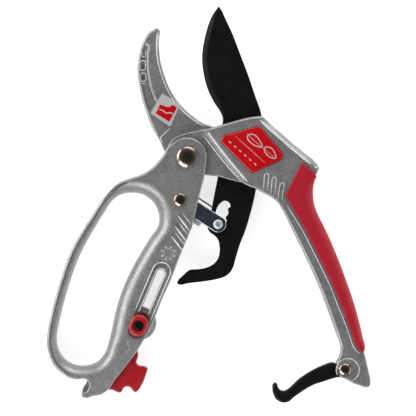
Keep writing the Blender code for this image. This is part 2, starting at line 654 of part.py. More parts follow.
# ---- assembly ---------------------------------------------------------------
def build():
    """Make every sub-part and put moving ones' origins on their axes."""
    for obj in list(bpy.data.objects):
        bpy.data.objects.remove(obj, do_unlink=True)
    silver = material("cast_silver", (0.45, 0.45, 0.47), 0.8, 0.4)
    red = material("red_plastic", (0.55, 0.02, 0.03), 0.0, 0.4)
    soft = material("red_soft_grip", (0.5, 0.02, 0.04), 0.0, 0.6)
    label = material("red_label", (0.6, 0.01, 0.01), 0.0, 0.25)
    dark = material("dark_red_plastic", (0.14, 0.01, 0.015), 0.0, 0.45)
    black = material("black_coating", (0.015, 0.016, 0.017), 0.3, 0.4)
    plastic = material("black_plastic", (0.02, 0.02, 0.022), 0.0, 0.35)
    nickel = material("nickel", (0.6, 0.57, 0.52), 1.0, 0.2)
    steel = material("steel", (0.55, 0.55, 0.56), 1.0, 0.25)
    spring = material("spring_steel", (0.2, 0.2, 0.21), 1.0, 0.35)
    foil = material("silver_foil", (0.7, 0.7, 0.7), 0.6, 0.3)

    frame_casting(silver)
    grip(soft)
    prism("label_plate", rounded(LABEL, 2.8), (16.0, 17.1), label, 0.1, 0.6)
    prism("hook_sticker", STICKER, (7.93, 8.12), foil)
    rivet("main_rivet", MAIN_PIVOT, SHANK_R, 5.6, 0.0, 17.1, 19.0, nickel)
    rivet("blade_pin", BLADE_PIVOT, SHANK_R, 3.9, 0.3, 15.2, 15.6, steel)
    rivet("latch_rivet", LATCH_PIVOT, SMALL_SHANK_R, 3.3, 0.3, 16.0, 17.3, nickel)
    return_spring(spring)

    loop_handle(silver)
    rivet("link_rivet", LINK_PIVOT, SMALL_SHANK_R, 3.4, 0.0, 17.1, 18.3, nickel)
    tube("link_sleeve", LINK_PIVOT, 2.6, 3.2, (8.0, 11.3), steel)
    prism("bumper", spline(BUMPER, 2), BUMPER_Z, red, 0.5, 0.5)

    blade(black)

    link_plate("link_rear", LINK_REAR_Z, steel)
    link_plate("link_front", LINK_FRONT_Z, steel)
    lathe("link_pin", [(0.0, 4.3), (2.6, 4.3), (2.6, 5.3), (1.4, 5.3), (1.4, 13.5),
                       (0.0, 13.5)], LINK_PIN, steel, 24)
    link_screw(steel)
    link_spring(spring)

    slider_parts(red, dark, plastic, steel)

    latch = prism("latch", spline(LATCH + arc(LATCH_PIVOT, 5.0, 265, 500, 9), 2),
                  LATCH_Z, plastic, 0.5, 0.7)
    shape(latch, (), [hole(LATCH_PIVOT, 3.4)])
    tube("latch_bush", LATCH_PIVOT, 2.6, 3.3, (5.9, 12.1), steel)

    put_origin(["loop_handle", "link_sleeve", "bumper"], MAIN_PIVOT)
    put_origin(["blade"], BLADE_PIVOT)
    put_origin(["link_rear", "link_front", "link_pin", "link_screw", "link_spring"],
               LINK_PIVOT)
    put_origin(["latch", "latch_bush"], LATCH_PIVOT)
    slider = ["slider_base", "slider_knob", "slider_screw", "slider_plate",
              "slider_washer"]
    put_origin(slider, SLIDER_SCREW)


build()
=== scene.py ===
"""Looks of bypass ratchet pruning shears with a finger loop, lying face up.

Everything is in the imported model's own frame, in metres. Sizes below are in
millimetres and are scaled by MM when a mesh is made.
"""

from __future__ import annotations

import json
import logging
import math
from collections.abc import Sequence
from dataclasses import dataclass, field
from enum import Enum

import bmesh
import bpy
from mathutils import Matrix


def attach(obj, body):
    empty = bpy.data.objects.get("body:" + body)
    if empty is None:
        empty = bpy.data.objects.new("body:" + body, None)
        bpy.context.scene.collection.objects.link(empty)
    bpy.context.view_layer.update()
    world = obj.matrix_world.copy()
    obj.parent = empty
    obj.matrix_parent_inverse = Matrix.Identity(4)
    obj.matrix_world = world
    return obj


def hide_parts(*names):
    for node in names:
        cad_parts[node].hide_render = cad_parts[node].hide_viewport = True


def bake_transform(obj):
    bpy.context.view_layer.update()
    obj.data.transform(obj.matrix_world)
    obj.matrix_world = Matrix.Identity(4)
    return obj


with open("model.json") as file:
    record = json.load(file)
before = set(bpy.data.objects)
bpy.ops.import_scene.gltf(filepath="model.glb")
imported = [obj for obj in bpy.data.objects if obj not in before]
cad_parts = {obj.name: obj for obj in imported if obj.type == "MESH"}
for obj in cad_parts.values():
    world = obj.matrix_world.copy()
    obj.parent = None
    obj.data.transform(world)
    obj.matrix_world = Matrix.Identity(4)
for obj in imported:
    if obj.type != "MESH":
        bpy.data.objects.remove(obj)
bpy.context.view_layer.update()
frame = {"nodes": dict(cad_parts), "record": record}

MM = 0.001
LOG = logging.getLogger("shears")

Point = tuple[float, float]
Point3 = tuple[float, float, float]
Outline = list[Point]
Ring = list[Point3]


# ---- plane geometry ---------------------------------------------------------
def tangent(before: Sequence[float], here: Sequence[float],
            after: Sequence[float]) -> list[float]:
    """Find a curve's direction at a point, weighted towards its shorter span.

    Args:
        before: The point before.
        here: The point itself.
        after: The point after.

    Returns:
        The direction, as x and y.
    """
    d, e = math.dist(before[:2], here[:2]), math.dist(here[:2], after[:2])
    return [((after[c] - here[c]) / e * d + (here[c] - before[c]) / d * e) / (d + e)
            for c in (0, 1)]


def spline(points: Sequence[Sequence], per: int = 6, closed: bool = True) -> Outline:
    """Draw a smooth curve through points.

    Args:
        points: Points in mm. One with a third entry is a sharp corner.
        per: How many points each span gets.
        closed: Whether the curve runs back to its start.

    Returns:
        The curve's points.
    """
    n = len(points)
    out: Outline = []
    for i in range(n if closed else n - 1):
        a, b = points[i], points[(i + 1) % n]
        chord = math.dist(a[:2], b[:2])
        straight = [(b[c] - a[c]) / chord for c in (0, 1)]
        ends = []
        for p, q, r in ((points[i - 1], a, b), (a, b, points[(i + 2) % n])):
            stop = not closed and (q is points[0] or q is points[-1])
            ends.append(straight if len(q) > 2 or stop else tangent(p, q, r))
        for k in range(per):
            t = k / per
            out.append(tuple(
                a[c] * (1 + 2 * t) * (1 - t) ** 2 + b[c] * t * t * (3 - 2 * t)
                + chord * (ends[0][c] * t * (1 - t) ** 2 - ends[1][c] * t * t * (1 - t))
                for c in (0, 1)))
    if not closed:
        out.append(tuple(points[-1][:2]))
    return out


def arc(centre: Point, radius: float, start: float, end: float, count: int) -> Outline:
    """Draw an arc.

    Args:
        centre: Its centre in mm.
        radius: Its radius in mm.
        start: Its first angle in degrees.
        end: Its last angle in degrees.
        count: How many points it gets.

    Returns:
        The arc's points.
    """
    step = (end - start) / (count - 1)
    angles = [math.radians(start + step * k) for k in range(count)]
    return [(centre[0] + radius * math.cos(a), centre[1] + radius * math.sin(a))
            for a in angles]


def circle(centre: Point, radius: float, count: int = 64) -> Outline:
    """Draw a whole circle of count points."""
    return arc(centre, radius, 0.0, 360.0 * (count - 1) / count, count)


def capsule(start: Point, end: Point, radius: float, count: int = 17) -> Outline:
    """Draw a slot's outline.

    Args:
        start: The centre of its first end, in mm.
        end: The centre of its other end.
        radius: Half its width.
        count: How many points each end gets.

    Returns:
        The outline.
    """
    turn = math.degrees(math.atan2(end[1] - start[1], end[0] - start[0]))
    return (arc(end, radius, turn - 90, turn + 90, count)
            + arc(start, radius, turn + 90, turn + 270, count))


def rounded(corners: Sequence[Point], radius: float, count: int = 12) -> Outline:
    """Round a polygon's corners.

    Args:
        corners: The polygon's corners in mm.
        radius: The corners' radius.
        count: How many points each corner gets.

    Returns:
        The outline.
    """
    out: Outline = []
    for i, p in enumerate(corners):
        q, r = corners[i - 1], corners[(i + 1) % len(corners)]
        a = [(q[c] - p[c]) / math.dist(p, q) for c in (0, 1)]
        b = [(r[c] - p[c]) / math.dist(p, r) for c in (0, 1)]
        half = math.acos(a[0] * b[0] + a[1] * b[1]) / 2
        size = math.hypot(a[0] + b[0], a[1] + b[1])
        reach = radius / math.sin(half)
        centre = (p[0] + (a[0] + b[0]) / size * reach,
                  p[1] + (a[1] + b[1]) / size * reach)
        start = [p[c] + a[c] * radius / math.tan(half) - centre[c] for c in (0, 1)]
        first = math.degrees(math.atan2(start[1], start[0]))
        turn = math.degrees(math.pi - 2 * half)
        cross = a[0] * b[1] - a[1] * b[0]
        out += arc(centre, radius, first, first - math.copysign(turn, cross), count)
    return out


def signed_area(outline: Outline) -> float:
    """Measure an outline's area, positive when its points run anticlockwise."""
    pairs = zip(outline, outline[1:] + outline[:1])
    return sum(p[0] * q[1] - q[0] * p[1] for p, q in pairs) / 2


def outward(outline: Outline) -> Outline:
    """Find each point's outward direction, lengthened at corners.

    Args:
        outline: The outline.

    Returns:
        One direction for each point.
    """
    sign = 1.0 if signed_area(outline) > 0 else -1.0
    n = len(outline)
    out: Outline = []
    for i, p in enumerate(outline):
        sides = []
        for q, r in ((outline[i - 1], p), (p, outline[(i + 1) % n])):
            dx, dy = r[0] - q[0], r[1] - q[1]
            size = math.hypot(dx, dy) or 1e-9
            sides.append((sign * dy / size, -sign * dx / size))
        mx, my = sides[0][0] + sides[1][0], sides[0][1] + sides[1][1]
        size = math.hypot(mx, my) or 1e-9
        mx, my = mx / size, my / size
        lean = max(0.5, mx * sides[0][0] + my * sides[0][1])
        out.append((mx / lean, my / lean))
    return out


def grown(outline: Outline, amount: float | Sequence[float]) -> Outline:
    """Move an outline outward.

    Args:
        outline: The outline.
        amount: How far in mm, for all its points or one for each.

    Returns:
        The moved outline.
    """
    amounts = [amount] * len(outline) if isinstance(amount, (int, float)) else amount
    return [(p[0] + n[0] * d, p[1] + n[1] * d)
            for p, n, d in zip(outline, outward(outline), amounts)]


def turned(point: Point, centre: Point, degrees: float) -> Point:
    """Turn a point about a centre.

    Args:
        point: The point.
        centre: The centre.
        degrees: How far, anticlockwise.

    Returns:
        The turned point.
    """
    a = math.radians(degrees)
    x, y = point[0] - centre[0], point[1] - centre[1]
    return (centre[0] + x * math.cos(a) - y * math.sin(a),
            centre[1] + x * math.sin(a) + y * math.cos(a))


def mixed(low: float, high: float, share: float) -> float:
    """Blend two numbers, with the share held between 0 and 1."""
    return low + (high - low) * min(1.0, max(0.0, share))


# ---- finishes ---------------------------------------------------------------
class Grain(Enum):
    """What the fine texture of a surface looks like."""

    FLAKE = "metallic paint with fine flakes"
    STIPPLE = "fine stipple of soft rubber"
    MOULDED = "slight unevenness of moulded plastic"
    BRUSHED = "fine drawn or ground lines"
    COATED = "thin coating with faint rubbed scratches"


@dataclass(frozen=True)
class Finish:
    """A surface's colour, gloss and fine texture.

    Attributes:
        name: The material's name.
        colour: The base colour.
        shade: The colour it drifts towards in patches and grain.
        metallic: How metallic it is.
        rough: The lowest and highest roughness.
        grain: The kind of fine texture.
        size: The texture's size in mm.
        bump: How strong its relief is.
        coat: The weight of a clear coat.
        sheen: The weight of a soft sheen.
        line: The direction of brushed lines in degrees.
        shine: The level of its specular reflection.
        patches: How far it drifts to its shade in broad patches.
    """

    name: str
    colour: Point3
    shade: Point3
    metallic: float
    rough: Point
    grain: Grain
    size: float = 0.4
    bump: float = 0.1
    coat: float = 0.0
    sheen: float = 0.0
    line: float = 0.0
    shine: float = 0.5
    patches: float = 0.3

    def material(self) -> bpy.types.Material:
        """Return the material, made on first use."""
        found = bpy.data.materials.get(self.name)
        return found or self._make()

    def _make(self) -> bpy.types.Material:
        """Build the material's nodes.

        Returns:
            The new material.
        """
        mat = bpy.data.materials.new(self.name)
        mat.use_nodes = True
        tree = mat.node_tree
        shader = tree.nodes["Principled BSDF"]
        shader.inputs["Metallic"].default_value = self.metallic
        shader.inputs["Specular IOR Level"].default_value = self.shine
        shader.inputs["Coat Weight"].default_value = self.coat
        shader.inputs["Coat Roughness"].default_value = 0.12
        shader.inputs["Sheen Weight"].default_value = self.sheen
        place = tree.nodes.new("ShaderNodeTexCoord").outputs["Object"]
        patch = self._noise(tree, place, 14.0, 3.0)
        fine = self._fine(tree, place)
        blend = tree.nodes.new("ShaderNodeMath")
        blend.operation = "MULTIPLY_ADD"
        tree.links.new(fine, blend.inputs[0])
        blend.inputs[1].default_value = 0.55
        tree.links.new(self._ranged(tree, patch, -0.05, self.patches), blend.inputs[2])
        mix = tree.nodes.new("ShaderNodeMix")
        mix.data_type = "RGBA"
        tree.links.new(blend.outputs[0], mix.inputs["Factor"])
        mix.inputs["A"].default_value = (*self.colour, 1.0)
        mix.inputs["B"].default_value = (*self.shade, 1.0)
        tree.links.new(mix.outputs["Result"], shader.inputs["Base Color"])
        smear = self._noise(tree, place, 5.0, 4.0)
        tree.links.new(self._ranged(tree, smear, *self.rough), shader.inputs["Roughness"])
        relief = tree.nodes.new("ShaderNodeBump")
        relief.inputs["Strength"].default_value = self.bump
        relief.inputs["Distance"].default_value = 0.25 * MM
        tree.links.new(fine, relief.inputs["Height"])
        tree.links.new(relief.outputs["Normal"], shader.inputs["Normal"])
        return mat

    def _fine(self, tree: bpy.types.NodeTree,
              place: bpy.types.NodeSocket) -> bpy.types.NodeSocket:
        """Add the nodes of the fine texture.

        Args:
            tree: The material's nodes.
            place: The coordinates.

        Returns:
            The texture's value.
        """
        if self.grain in (Grain.FLAKE, Grain.STIPPLE):
            cell = tree.nodes.new("ShaderNodeTexVoronoi")
            cell.inputs["Scale"].default_value = 1.0 / (self.size * MM)
            tree.links.new(place, cell.inputs["Vector"])
            if self.grain is Grain.STIPPLE:
                return cell.outputs["Distance"]
            part = tree.nodes.new("ShaderNodeSeparateColor")
            tree.links.new(cell.outputs["Color"], part.inputs["Color"])
            return part.outputs["Red"]
        if self.grain is Grain.MOULDED:
            return self._noise(tree, place, self.size, 4.0)
        along = tree.nodes.new("ShaderNodeMapping")
        along.inputs["Rotation"].default_value = (0.0, 0.0, math.radians(-self.line))
        stretch = 0.05 if self.grain is Grain.BRUSHED else 0.12
        along.inputs["Scale"].default_value = (stretch, 1.0, 1.0)
        tree.links.new(place, along.inputs["Vector"])
        return self._noise(tree, along.outputs["Vector"], self.size, 5.0)

    @staticmethod
    def _noise(tree: bpy.types.NodeTree, place: bpy.types.NodeSocket, size: float,
               detail: float) -> bpy.types.NodeSocket:
        """Add a noise.

        Args:
            tree: The material's nodes.
            place: The coordinates.
            size: Its feature size in mm.
            detail: Its levels of detail.

        Returns:
            Its value.
        """
        node = tree.nodes.new("ShaderNodeTexNoise")
        node.inputs["Scale"].default_value = 1.0 / (size * MM)
        node.inputs["Detail"].default_value = detail
        tree.links.new(place, node.inputs["Vector"])
        return node.outputs["Fac"]

    @staticmethod
    def _ranged(tree: bpy.types.NodeTree, value: bpy.types.NodeSocket, low: float,
                high: float) -> bpy.types.NodeSocket:
        """Map a noise's middle range to two limits.

        Args:
            tree: The material's nodes.
            value: The noise's value.
            low: What 0.3 becomes.
            high: What 0.7 becomes.

        Returns:
            The mapped value.
        """
        node = tree.nodes.new("ShaderNodeMapRange")
        node.inputs["From Min"].default_value = 0.3
        node.inputs["From Max"].default_value = 0.7
        node.inputs["To Min"].default_value = low
        node.inputs["To Max"].default_value = high
        tree.links.new(value, node.inputs["Value"])
        return node.outputs["Result"]


SILVER = Finish("silver_cast_paint", (0.36, 0.355, 0.355), (0.10, 0.097, 0.097), 0.70,
                (0.36, 0.46), Grain.FLAKE, 0.45, 0.14, patches=0.10)
# A lighter copy of the silver paint: painted highlight on bright lines and edges.
SILVER_PAINTED_HIGHLIGHT = Finish("silver_painted_highlight", (0.68, 0.69, 0.70), (0.50, 0.50, 0.51), 0.40,
                     (0.28, 0.40), Grain.FLAKE, 0.35, 0.08)
# A softer, lighter copy of the silver paint: painted highlight on bevels, ridges, rims
# and ribs.
SILVER_SOFT_PAINTED_HIGHLIGHT = Finish("silver_soft_painted_highlight", (0.56, 0.56, 0.57), (0.34, 0.34, 0.35), 0.45,
                (0.32, 0.42), Grain.FLAKE, 0.35, 0.08)
SOFT_RED = Finish("soft_red_rubber", (0.36, 0.007, 0.020), (0.29, 0.004, 0.014), 0.0,
                  (0.50, 0.62), Grain.STIPPLE, 0.45, 0.22, shine=0.2)
LABEL_RED = Finish("label_red_gloss", (0.43, 0.002, 0.004), (0.37, 0.001, 0.003), 0.0,
                   (0.16, 0.24), Grain.MOULDED, 1.2, 0.03, coat=0.5)
MOULDED_RED = Finish("moulded_red", (0.33, 0.003, 0.010), (0.25, 0.002, 0.006), 0.0,
                     (0.30, 0.42), Grain.MOULDED, 0.6, 0.08, coat=0.1)
# A darker copy of the moulded red: painted shade on the switch base sunk in its recess.
RED_PAINTED_SHADE = Finish("moulded_red_painted_shade", (0.10, 0.004, 0.007), (0.05, 0.002, 0.004), 0.0,
                  (0.34, 0.48), Grain.MOULDED, 0.6, 0.10)
PRINT_GREY = Finish("print_grey", (0.50, 0.42, 0.42), (0.40, 0.32, 0.32), 0.1,
                    (0.35, 0.5), Grain.MOULDED, 0.5, 0.06)
# Near-black grey: painted shade standing in for the shadow in a groove.
GROOVE_PAINTED_SHADE = Finish("groove_painted_shade", (0.10, 0.10, 0.11), (0.06, 0.06, 0.07), 0.3,
                     (0.5, 0.6), Grain.FLAKE, 0.45, 0.1)
FOIL = Finish("silver_foil_sheet", (0.56, 0.56, 0.56), (0.42, 0.42, 0.425), 0.30,
              (0.26, 0.38), Grain.BRUSHED, 0.30, 0.05)
NICKEL = Finish("warm_nickel", (0.40, 0.34, 0.27), (0.13, 0.09, 0.06), 1.0,
                (0.10, 0.18), Grain.MOULDED, 0.9, 0.12, patches=0.5)
STEEL = Finish("polished_steel", (0.42, 0.47, 0.58), (0.28, 0.32, 0.42), 1.0,
               (0.14, 0.26), Grain.BRUSHED, 0.22, 0.05, line=33.0)
ZINC = Finish("zinc_plate", (0.66, 0.67, 0.68), (0.50, 0.51, 0.53), 0.55,
              (0.28, 0.40), Grain.BRUSHED, 0.25, 0.05, line=20.0)
SPRING = Finish("spring_wire", (0.10, 0.10, 0.11), (0.05, 0.05, 0.055), 0.9,
                (0.26, 0.40), Grain.BRUSHED, 0.25, 0.08)
COATING = Finish("black_blade_coating", (0.0016, 0.0019, 0.0018),
                 (0.0034, 0.0038, 0.0036), 0.0, (0.40, 0.52), Grain.COATED, 0.5, 0.06,
                 line=38.0, shine=0.14)
GROUND = Finish("ground_blade_bevel", (0.0020, 0.0022, 0.0022),
                (0.0045, 0.0047, 0.0048), 0.0, (0.40, 0.52), Grain.BRUSHED, 0.30, 0.08,
                line=98.0, shine=0.12)
BLACK = Finish("black_moulded", (0.003, 0.003, 0.0032), (0.007, 0.007, 0.0074), 0.0,
               (0.26, 0.38), Grain.MOULDED, 0.5, 0.10, shine=0.2)


# ---- meshes -----------------------------------------------------------------
def from_mesh(name: str, verts: Sequence[Point3], faces: Sequence[tuple[int, ...]],
              finish: Finish | None = None) -> bpy.types.Object:
    """Make an object from vertices in mm, with its faces turned outward.

    Args:
        name: The object's name.
        verts: The vertices in mm.
        faces: The faces' vertex numbers.
        finish: Its finish, if it has one.

    Returns:
        The object.
    """
    bm = bmesh.new()
    made = [bm.verts.new([c * MM for c in v]) for v in verts]
    for face in faces:
        bm.faces.new([made[i] for i in face])
    bmesh.ops.recalc_face_normals(bm, faces=bm.faces)
    mesh = bpy.data.meshes.new(name)
    bm.to_mesh(mesh)
    bm.free()
    obj = bpy.data.objects.new(name, mesh)
    bpy.context.scene.collection.objects.link(obj)
    if finish:
        mesh.materials.append(finish.material())
    return obj


def loft(name: str, rings: Sequence[Ring], finish: Finish | None = None,
         closed: bool = False) -> bpy.types.Object:
    """Make a solid through rings of equally many points.

    Args:
        name: The object's name.
        rings: The rings in mm.
        finish: Its finish.
        closed: Whether the last ring joins the first. If not, both are capped.

    Returns:
        The object.
    """
    n = len(rings[0])
    count = len(rings)
    faces: list[tuple[int, ...]] = []
    for k in range(count if closed else count - 1):
        a, b = k * n, ((k + 1) % count) * n
        faces += [(a + i, a + (i + 1) % n, b + (i + 1) % n, b + i) for i in range(n)]
    if not closed:
        faces += [tuple(range(n)), tuple(range((count - 1) * n, count * n))]
    return from_mesh(name, [p for ring in rings for p in ring], faces, finish)


def paint_edge_highlight(obj: bpy.types.Object, bands: int, size: int,
              edge: Finish | None) -> bpy.types.Object:
    """Give a lofted solid's upper bands a lighter finish, a painted highlight on its
    edge.

    Args:
        obj: The solid, just lofted.
        bands: How many bands under its top face get it.
        size: How many faces a band has.
        edge: The lighter finish of the painted highlight, or None to leave the solid as
            it is.

    Returns:
        The solid.
    """
    if edge:
        obj.data.materials.append(edge.material())
        last = len(obj.data.polygons) - 2
        for index in range(last - bands * size, last):
            obj.data.polygons[index].material_index = 1
    return obj


def prism(name: str, outline: Outline, z: Point, finish: Finish | None = None,
          low: float = 0.0, high: float = 0.0, steps: int = 4,
          edge: Finish | None = None) -> bpy.types.Object:
    """Make an outline thick, with its lower and upper edges rounded.

    Args:
        name: The object's name.
        outline: The outline in mm.
        z: The lowest and highest z.
        finish: Its finish.
        low: The lower edge's radius.
        high: The upper edge's radius.
        steps: How many facets a rounded edge gets.
        edge: A lighter finish for the upper rounded edge, a painted highlight, if it has
            its own.

    Returns:
        The object.
    """
    rings: list[Ring] = []
    for k in range(steps + 1 if low else 1):
        a = math.pi / 2 * (1 - k / steps) if low else 0.0
        ring = grown(outline, -low * (1 - math.cos(a)))
        rings.append([(*p, z[0] + low - low * math.sin(a)) for p in ring])
    for k in range(steps + 1 if high else 1):
        a = math.pi / 2 * k / steps if high else 0.0
        ring = grown(outline, -high * (1 - math.cos(a)))
        rings.append([(*p, z[1] - high + high * math.sin(a)) for p in ring])
    return paint_edge_highlight(loft(name, rings, finish), steps, len(outline), edge)


def lathe(name: str, profile: Sequence[Point], centre: Point,
          finish: Finish | None = None, count: int = 64) -> bpy.types.Object:
    """Turn a profile about a vertical axis.

    Args:
        name: The object's name.
        profile: Its points as radius and z. One from axis to axis is capped.
        centre: The axis, in mm.
        finish: Its finish.
        count: How many sides it gets.

    Returns:
        The object.
    """
    on_axis = profile[0][0] == 0.0
    body = profile[1:-1] if on_axis else profile
    rings = [[(*p, z) for p in circle(centre, r, count)] for r, z in body]
    return loft(name, rings, finish, not on_axis)


def rail(name: str, path: Sequence[Point], z: float, width: float, height: float,
         finish: Finish | None = None, closed: bool = False) -> bpy.types.Object:
    """Make a raised rounded line on a flat face.

    Args:
        name: The object's name.
        path: The line's points in mm.
        z: The face's level.
        width: The line's width.
        height: How far it stands up.
        finish: Its finish.
        closed: Whether the line is a loop.

    Returns:
        The object.
    """
    rings: list[Ring] = []
    n = len(path)
    for i, p in enumerate(path):
        q = path[i - 1] if closed or i else p
        r = path[(i + 1) % n] if closed or i < n - 1 else p
        size = math.dist(q, r) or 1e-9
        side = (-(r[1] - q[1]) / size, (r[0] - q[0]) / size)
        taper = 1.0 if closed else min(1.0, 0.35 + 0.65 * min(i, n - 1 - i) / 2)
        ring = []
        for across, up in ((-0.5, -0.5), (-0.42, 0.35), (-0.25, 0.8), (0.0, 1.0),
                           (0.25, 0.8), (0.42, 0.35), (0.5, -0.5)):
            d = across * width * taper
            lift = height * up * taper if up > 0 else -0.3
            ring.append((p[0] + side[0] * d, p[1] + side[1] * d, z + lift))
        rings.append(ring)
    return loft(name, rings, finish, closed)


def bake(obj: bpy.types.Object) -> bpy.types.Object:
    """Turn an object's modifiers into its mesh and remove their tools.

    Args:
        obj: The object.

    Returns:
        The same object.
    """
    tools = [m.object for m in obj.modifiers if m.type == "BOOLEAN"]
    graph = bpy.context.evaluated_depsgraph_get()
    mesh = bpy.data.meshes.new_from_object(obj.evaluated_get(graph))
    obj.modifiers.clear()
    obj.data = mesh
    for tool in tools:
        bpy.data.objects.remove(tool, do_unlink=True)
    return obj


def combine(obj: bpy.types.Object, other: bpy.types.Object,
            operation: str) -> bpy.types.Object:
    """Join a solid to an object or cut it out.

    Args:
        obj: The object.
        other: The solid, which is used up.
        operation: UNION or DIFFERENCE.

    Returns:
        The object.
    """
    modifier = obj.modifiers.new("combine", "BOOLEAN")
    modifier.operation = operation
    modifier.solver = "EXACT"
    modifier.object = other
    return bake(obj)


def shape(obj: bpy.types.Object, add: Sequence[bpy.types.Object] = (),
          cut: Sequence[bpy.types.Object] = ()) -> bpy.types.Object:
    """Join solids to an object, then cut others out of it.

    Args:
        obj: The object.
        add: The solids to join.
        cut: The solids to cut out.

    Returns:
        The object.
    """
    for other in add:
        combine(obj, other, "UNION")
    for other in cut:
        combine(obj, other, "DIFFERENCE")
    return obj


def merged(obj: bpy.types.Object, others: Sequence[bpy.types.Object]) -> bpy.types.Object:
    """Put other objects' meshes into one object, each with its own finish.

    Args:
        obj: The object that keeps them.
        others: The objects, which are used up.

    Returns:
        The object.
    """
    for other in others:
        bm = bmesh.new()
        bm.from_mesh(obj.data)
        before = len(bm.faces)
        bm.from_mesh(other.data)
        bm.faces.ensure_lookup_table()
        for mat in other.data.materials:
            if obj.data.materials.find(mat.name) < 0:
                obj.data.materials.append(mat)
        if other.data.materials:
            slot = obj.data.materials.find(other.data.materials[0].name)
            for face in bm.faces[before:]:
                face.material_index = slot
        bm.to_mesh(obj.data)
        bm.free()
        bpy.data.objects.remove(other, do_unlink=True)
    return obj


def hole(centre: Point, radius: float, z: Point = (-2.0, 24.0),
         count: int = 48) -> bpy.types.Object:
    """Make a round cutter."""
    return prism("hole", circle(centre, radius, count), z)


def dress(obj: bpy.types.Object, body: str, nodes: Sequence[str] = (),
          angle: float = 34.0) -> bpy.types.Object:
    """Shade a piece, let it ride on a body and stand for CAD nodes.

    Args:
        obj: The piece.
        body: The body it rides on.
        nodes: The CAD nodes it stands for.
        angle: The angle in degrees from which an edge stays sharp.

    Returns:
        The piece.
    """
    mesh = obj.data
    mesh.polygons.foreach_set("use_smooth", [True] * len(mesh.polygons))
    mesh.set_sharp_from_angle(angle=math.radians(angle))
    even = obj.modifiers.new("even_shading", "WEIGHTED_NORMAL")
    even.keep_sharp = True
    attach(obj, body)
    if nodes:
        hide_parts(*nodes)
    LOG.info("%s: %d faces on %s", obj.name, len(mesh.polygons), body)
    return obj


def recoat(node: str, finish: Finish) -> None:
    """Give a CAD node that stays in view its finish.

    Args:
        node: The node's name.
        finish: The finish.
    """
    obj = frame["nodes"][node]
    obj.data.materials.clear()
    obj.data.materials.append(finish.material())
    LOG.info("%s: CAD piece in %s", node, finish.name)


def pivot(joint: str) -> Point:
    """Look up a hinge's place in the record.

    Args:
        joint: The hinge's name.

    Returns:
        Its place in mm.
    """
    for entry in frame["record"]["behaviour"]["joints"]:
        if entry["name"] == joint:
            return (entry["pos_m"][0] / MM, entry["pos_m"][1] / MM)
    raise LookupError(joint)


MAIN = pivot("handle_pivot")
BLADE_PIN = pivot("blade_pivot")
LINK = pivot("link_pivot")
LATCH_PIN = pivot("latch_pivot")


# ---- levels (mm) ------------------------------------------------------------
HANDLE_Z = (0.0, 16.8)
CHANNEL_Z = (3.7, 14.3)
LUG_Z = (4.0, 14.0)
HEAD_Z = (1.5, 16.5)
HOOK_Z = (4.0, 7.9)
BLADE_Z = (8.2, 11.0)
BLADE_GAP_Z = (7.9, 11.3)
GRIP_Z = (0.0, 18.0)
FORK_Z = (5.7, 12.3)
SHANK_R = 4.0
SMALL_SHANK_R = 2.5
RUNNING_GAP = 0.1
PLATE_GAP = 0.3

# ---- outlines of the fixed side (mm) ----------------------------------------
HOOK_INNER = [
    (-15.0, 70.0), (-15.3, 66.7), (-15.5, 60.5), (-14.9, 53.8), (-12.9, 46.1),
    (-9.9, 38.3), (-6.2, 32.1), (-2.6, 27.7), (2.5, 23.1), (8.0, 19.2),
    (13.5, 17.2),
]
HOOK_OUTER = [
    (-12.3, 2.5), (-15.6, 9.8), (-18.4, 14.3), (-22.4, 23.8), (-24.9, 31.7),
    (-26.6, 39.0), (-27.4, 44.0), (-27.6, 49.1), (-27.0, 54.7), (-25.6, 60.9),
    (-23.9, 65.2), (-22.0, 68.3), (-19.1, 70.4), (-16.6, 71.4),
]
HEAD_TOP = [
    (12.5, 15.9), (20.0, 18.1), (27.8, 20.4), (33.9, 21.9), (39.0, 22.5),
    (41.3, 22.7, "c"), (46.1, 18.0), (52.3, 12.8), (58.4, 7.3), (64.5, 2.4),
    (70.6, -2.8), (72.5, -5.6), (71.4, -9.0, "c"),
]
ARM_HIDDEN = [
    (67.4, -12.5), (65.4, -17.0), (65.1, -24.0), (66.3, -30.5), (68.5, -36.5),
    (72.5, -45.0), (77.0, -54.5), (81.6, -66.0), (86.0, -77.5), (89.6, -88.0),
    (92.4, -98.0), (94.6, -104.0), (97.4, -107.6, "c"),
]
ARM_END = [
    (98.5, -112.0), (99.7, -117.5), (100.8, -123.0), (100.3, -126.0),
    (98.4, -126.6), (95.0, -125.6), (91.8, -124.6), (88.2, -122.6),
    (84.1, -120.9, "c"), (82.6, -117.0), (82.2, -112.6, "c"), (84.3, -108.2),
]
ARM_INNER = [
    (84.4, -104.7), (81.3, -95.5), (77.6, -85.0), (72.5, -71.5), (67.5, -60.0),
    (62.5, -49.5), (57.5, -39.5), (52.5, -29.0), (49.6, -24.6), (46.1, -21.8),
    (42.5, -19.9), (38.2, -17.6), (34.0, -16.0),
]
STEP = [(30.6, -14.3, "c"), (19.3, -0.4), (8.2, 14.6, "c")]
GRIP_TOP = [(53.8, -21.0, "c"), (63.1, -2.9, "c"), (71.2, -10.3, "c")]
GRIP_RIGHT = [
    (69.7, -14.5), (69.3, -19.5), (70.0, -26.0), (72.5, -32.5), (75.8, -39.0),
    (80.3, -49.0), (83.8, -57.5), (87.5, -67.5), (91.0, -77.5), (94.2, -88.5),
    (96.7, -99.0), (97.8, -105.1),
]
GRIP_LEFT = [
    (97.0, -107.0), (95.6, -106.8), (93.7, -105.1), (92.3, -102.8),
    (90.0, -96.0), (87.7, -89.5), (84.9, -82.7), (79.8, -70.0), (75.0, -60.0),
    (70.0, -50.0), (65.0, -40.0), (60.0, -31.5), (56.4, -25.2),
]
LABEL = [(16.2, 10.7), (39.7, 17.3), (54.6, -0.3), (35.4, -8.9)]


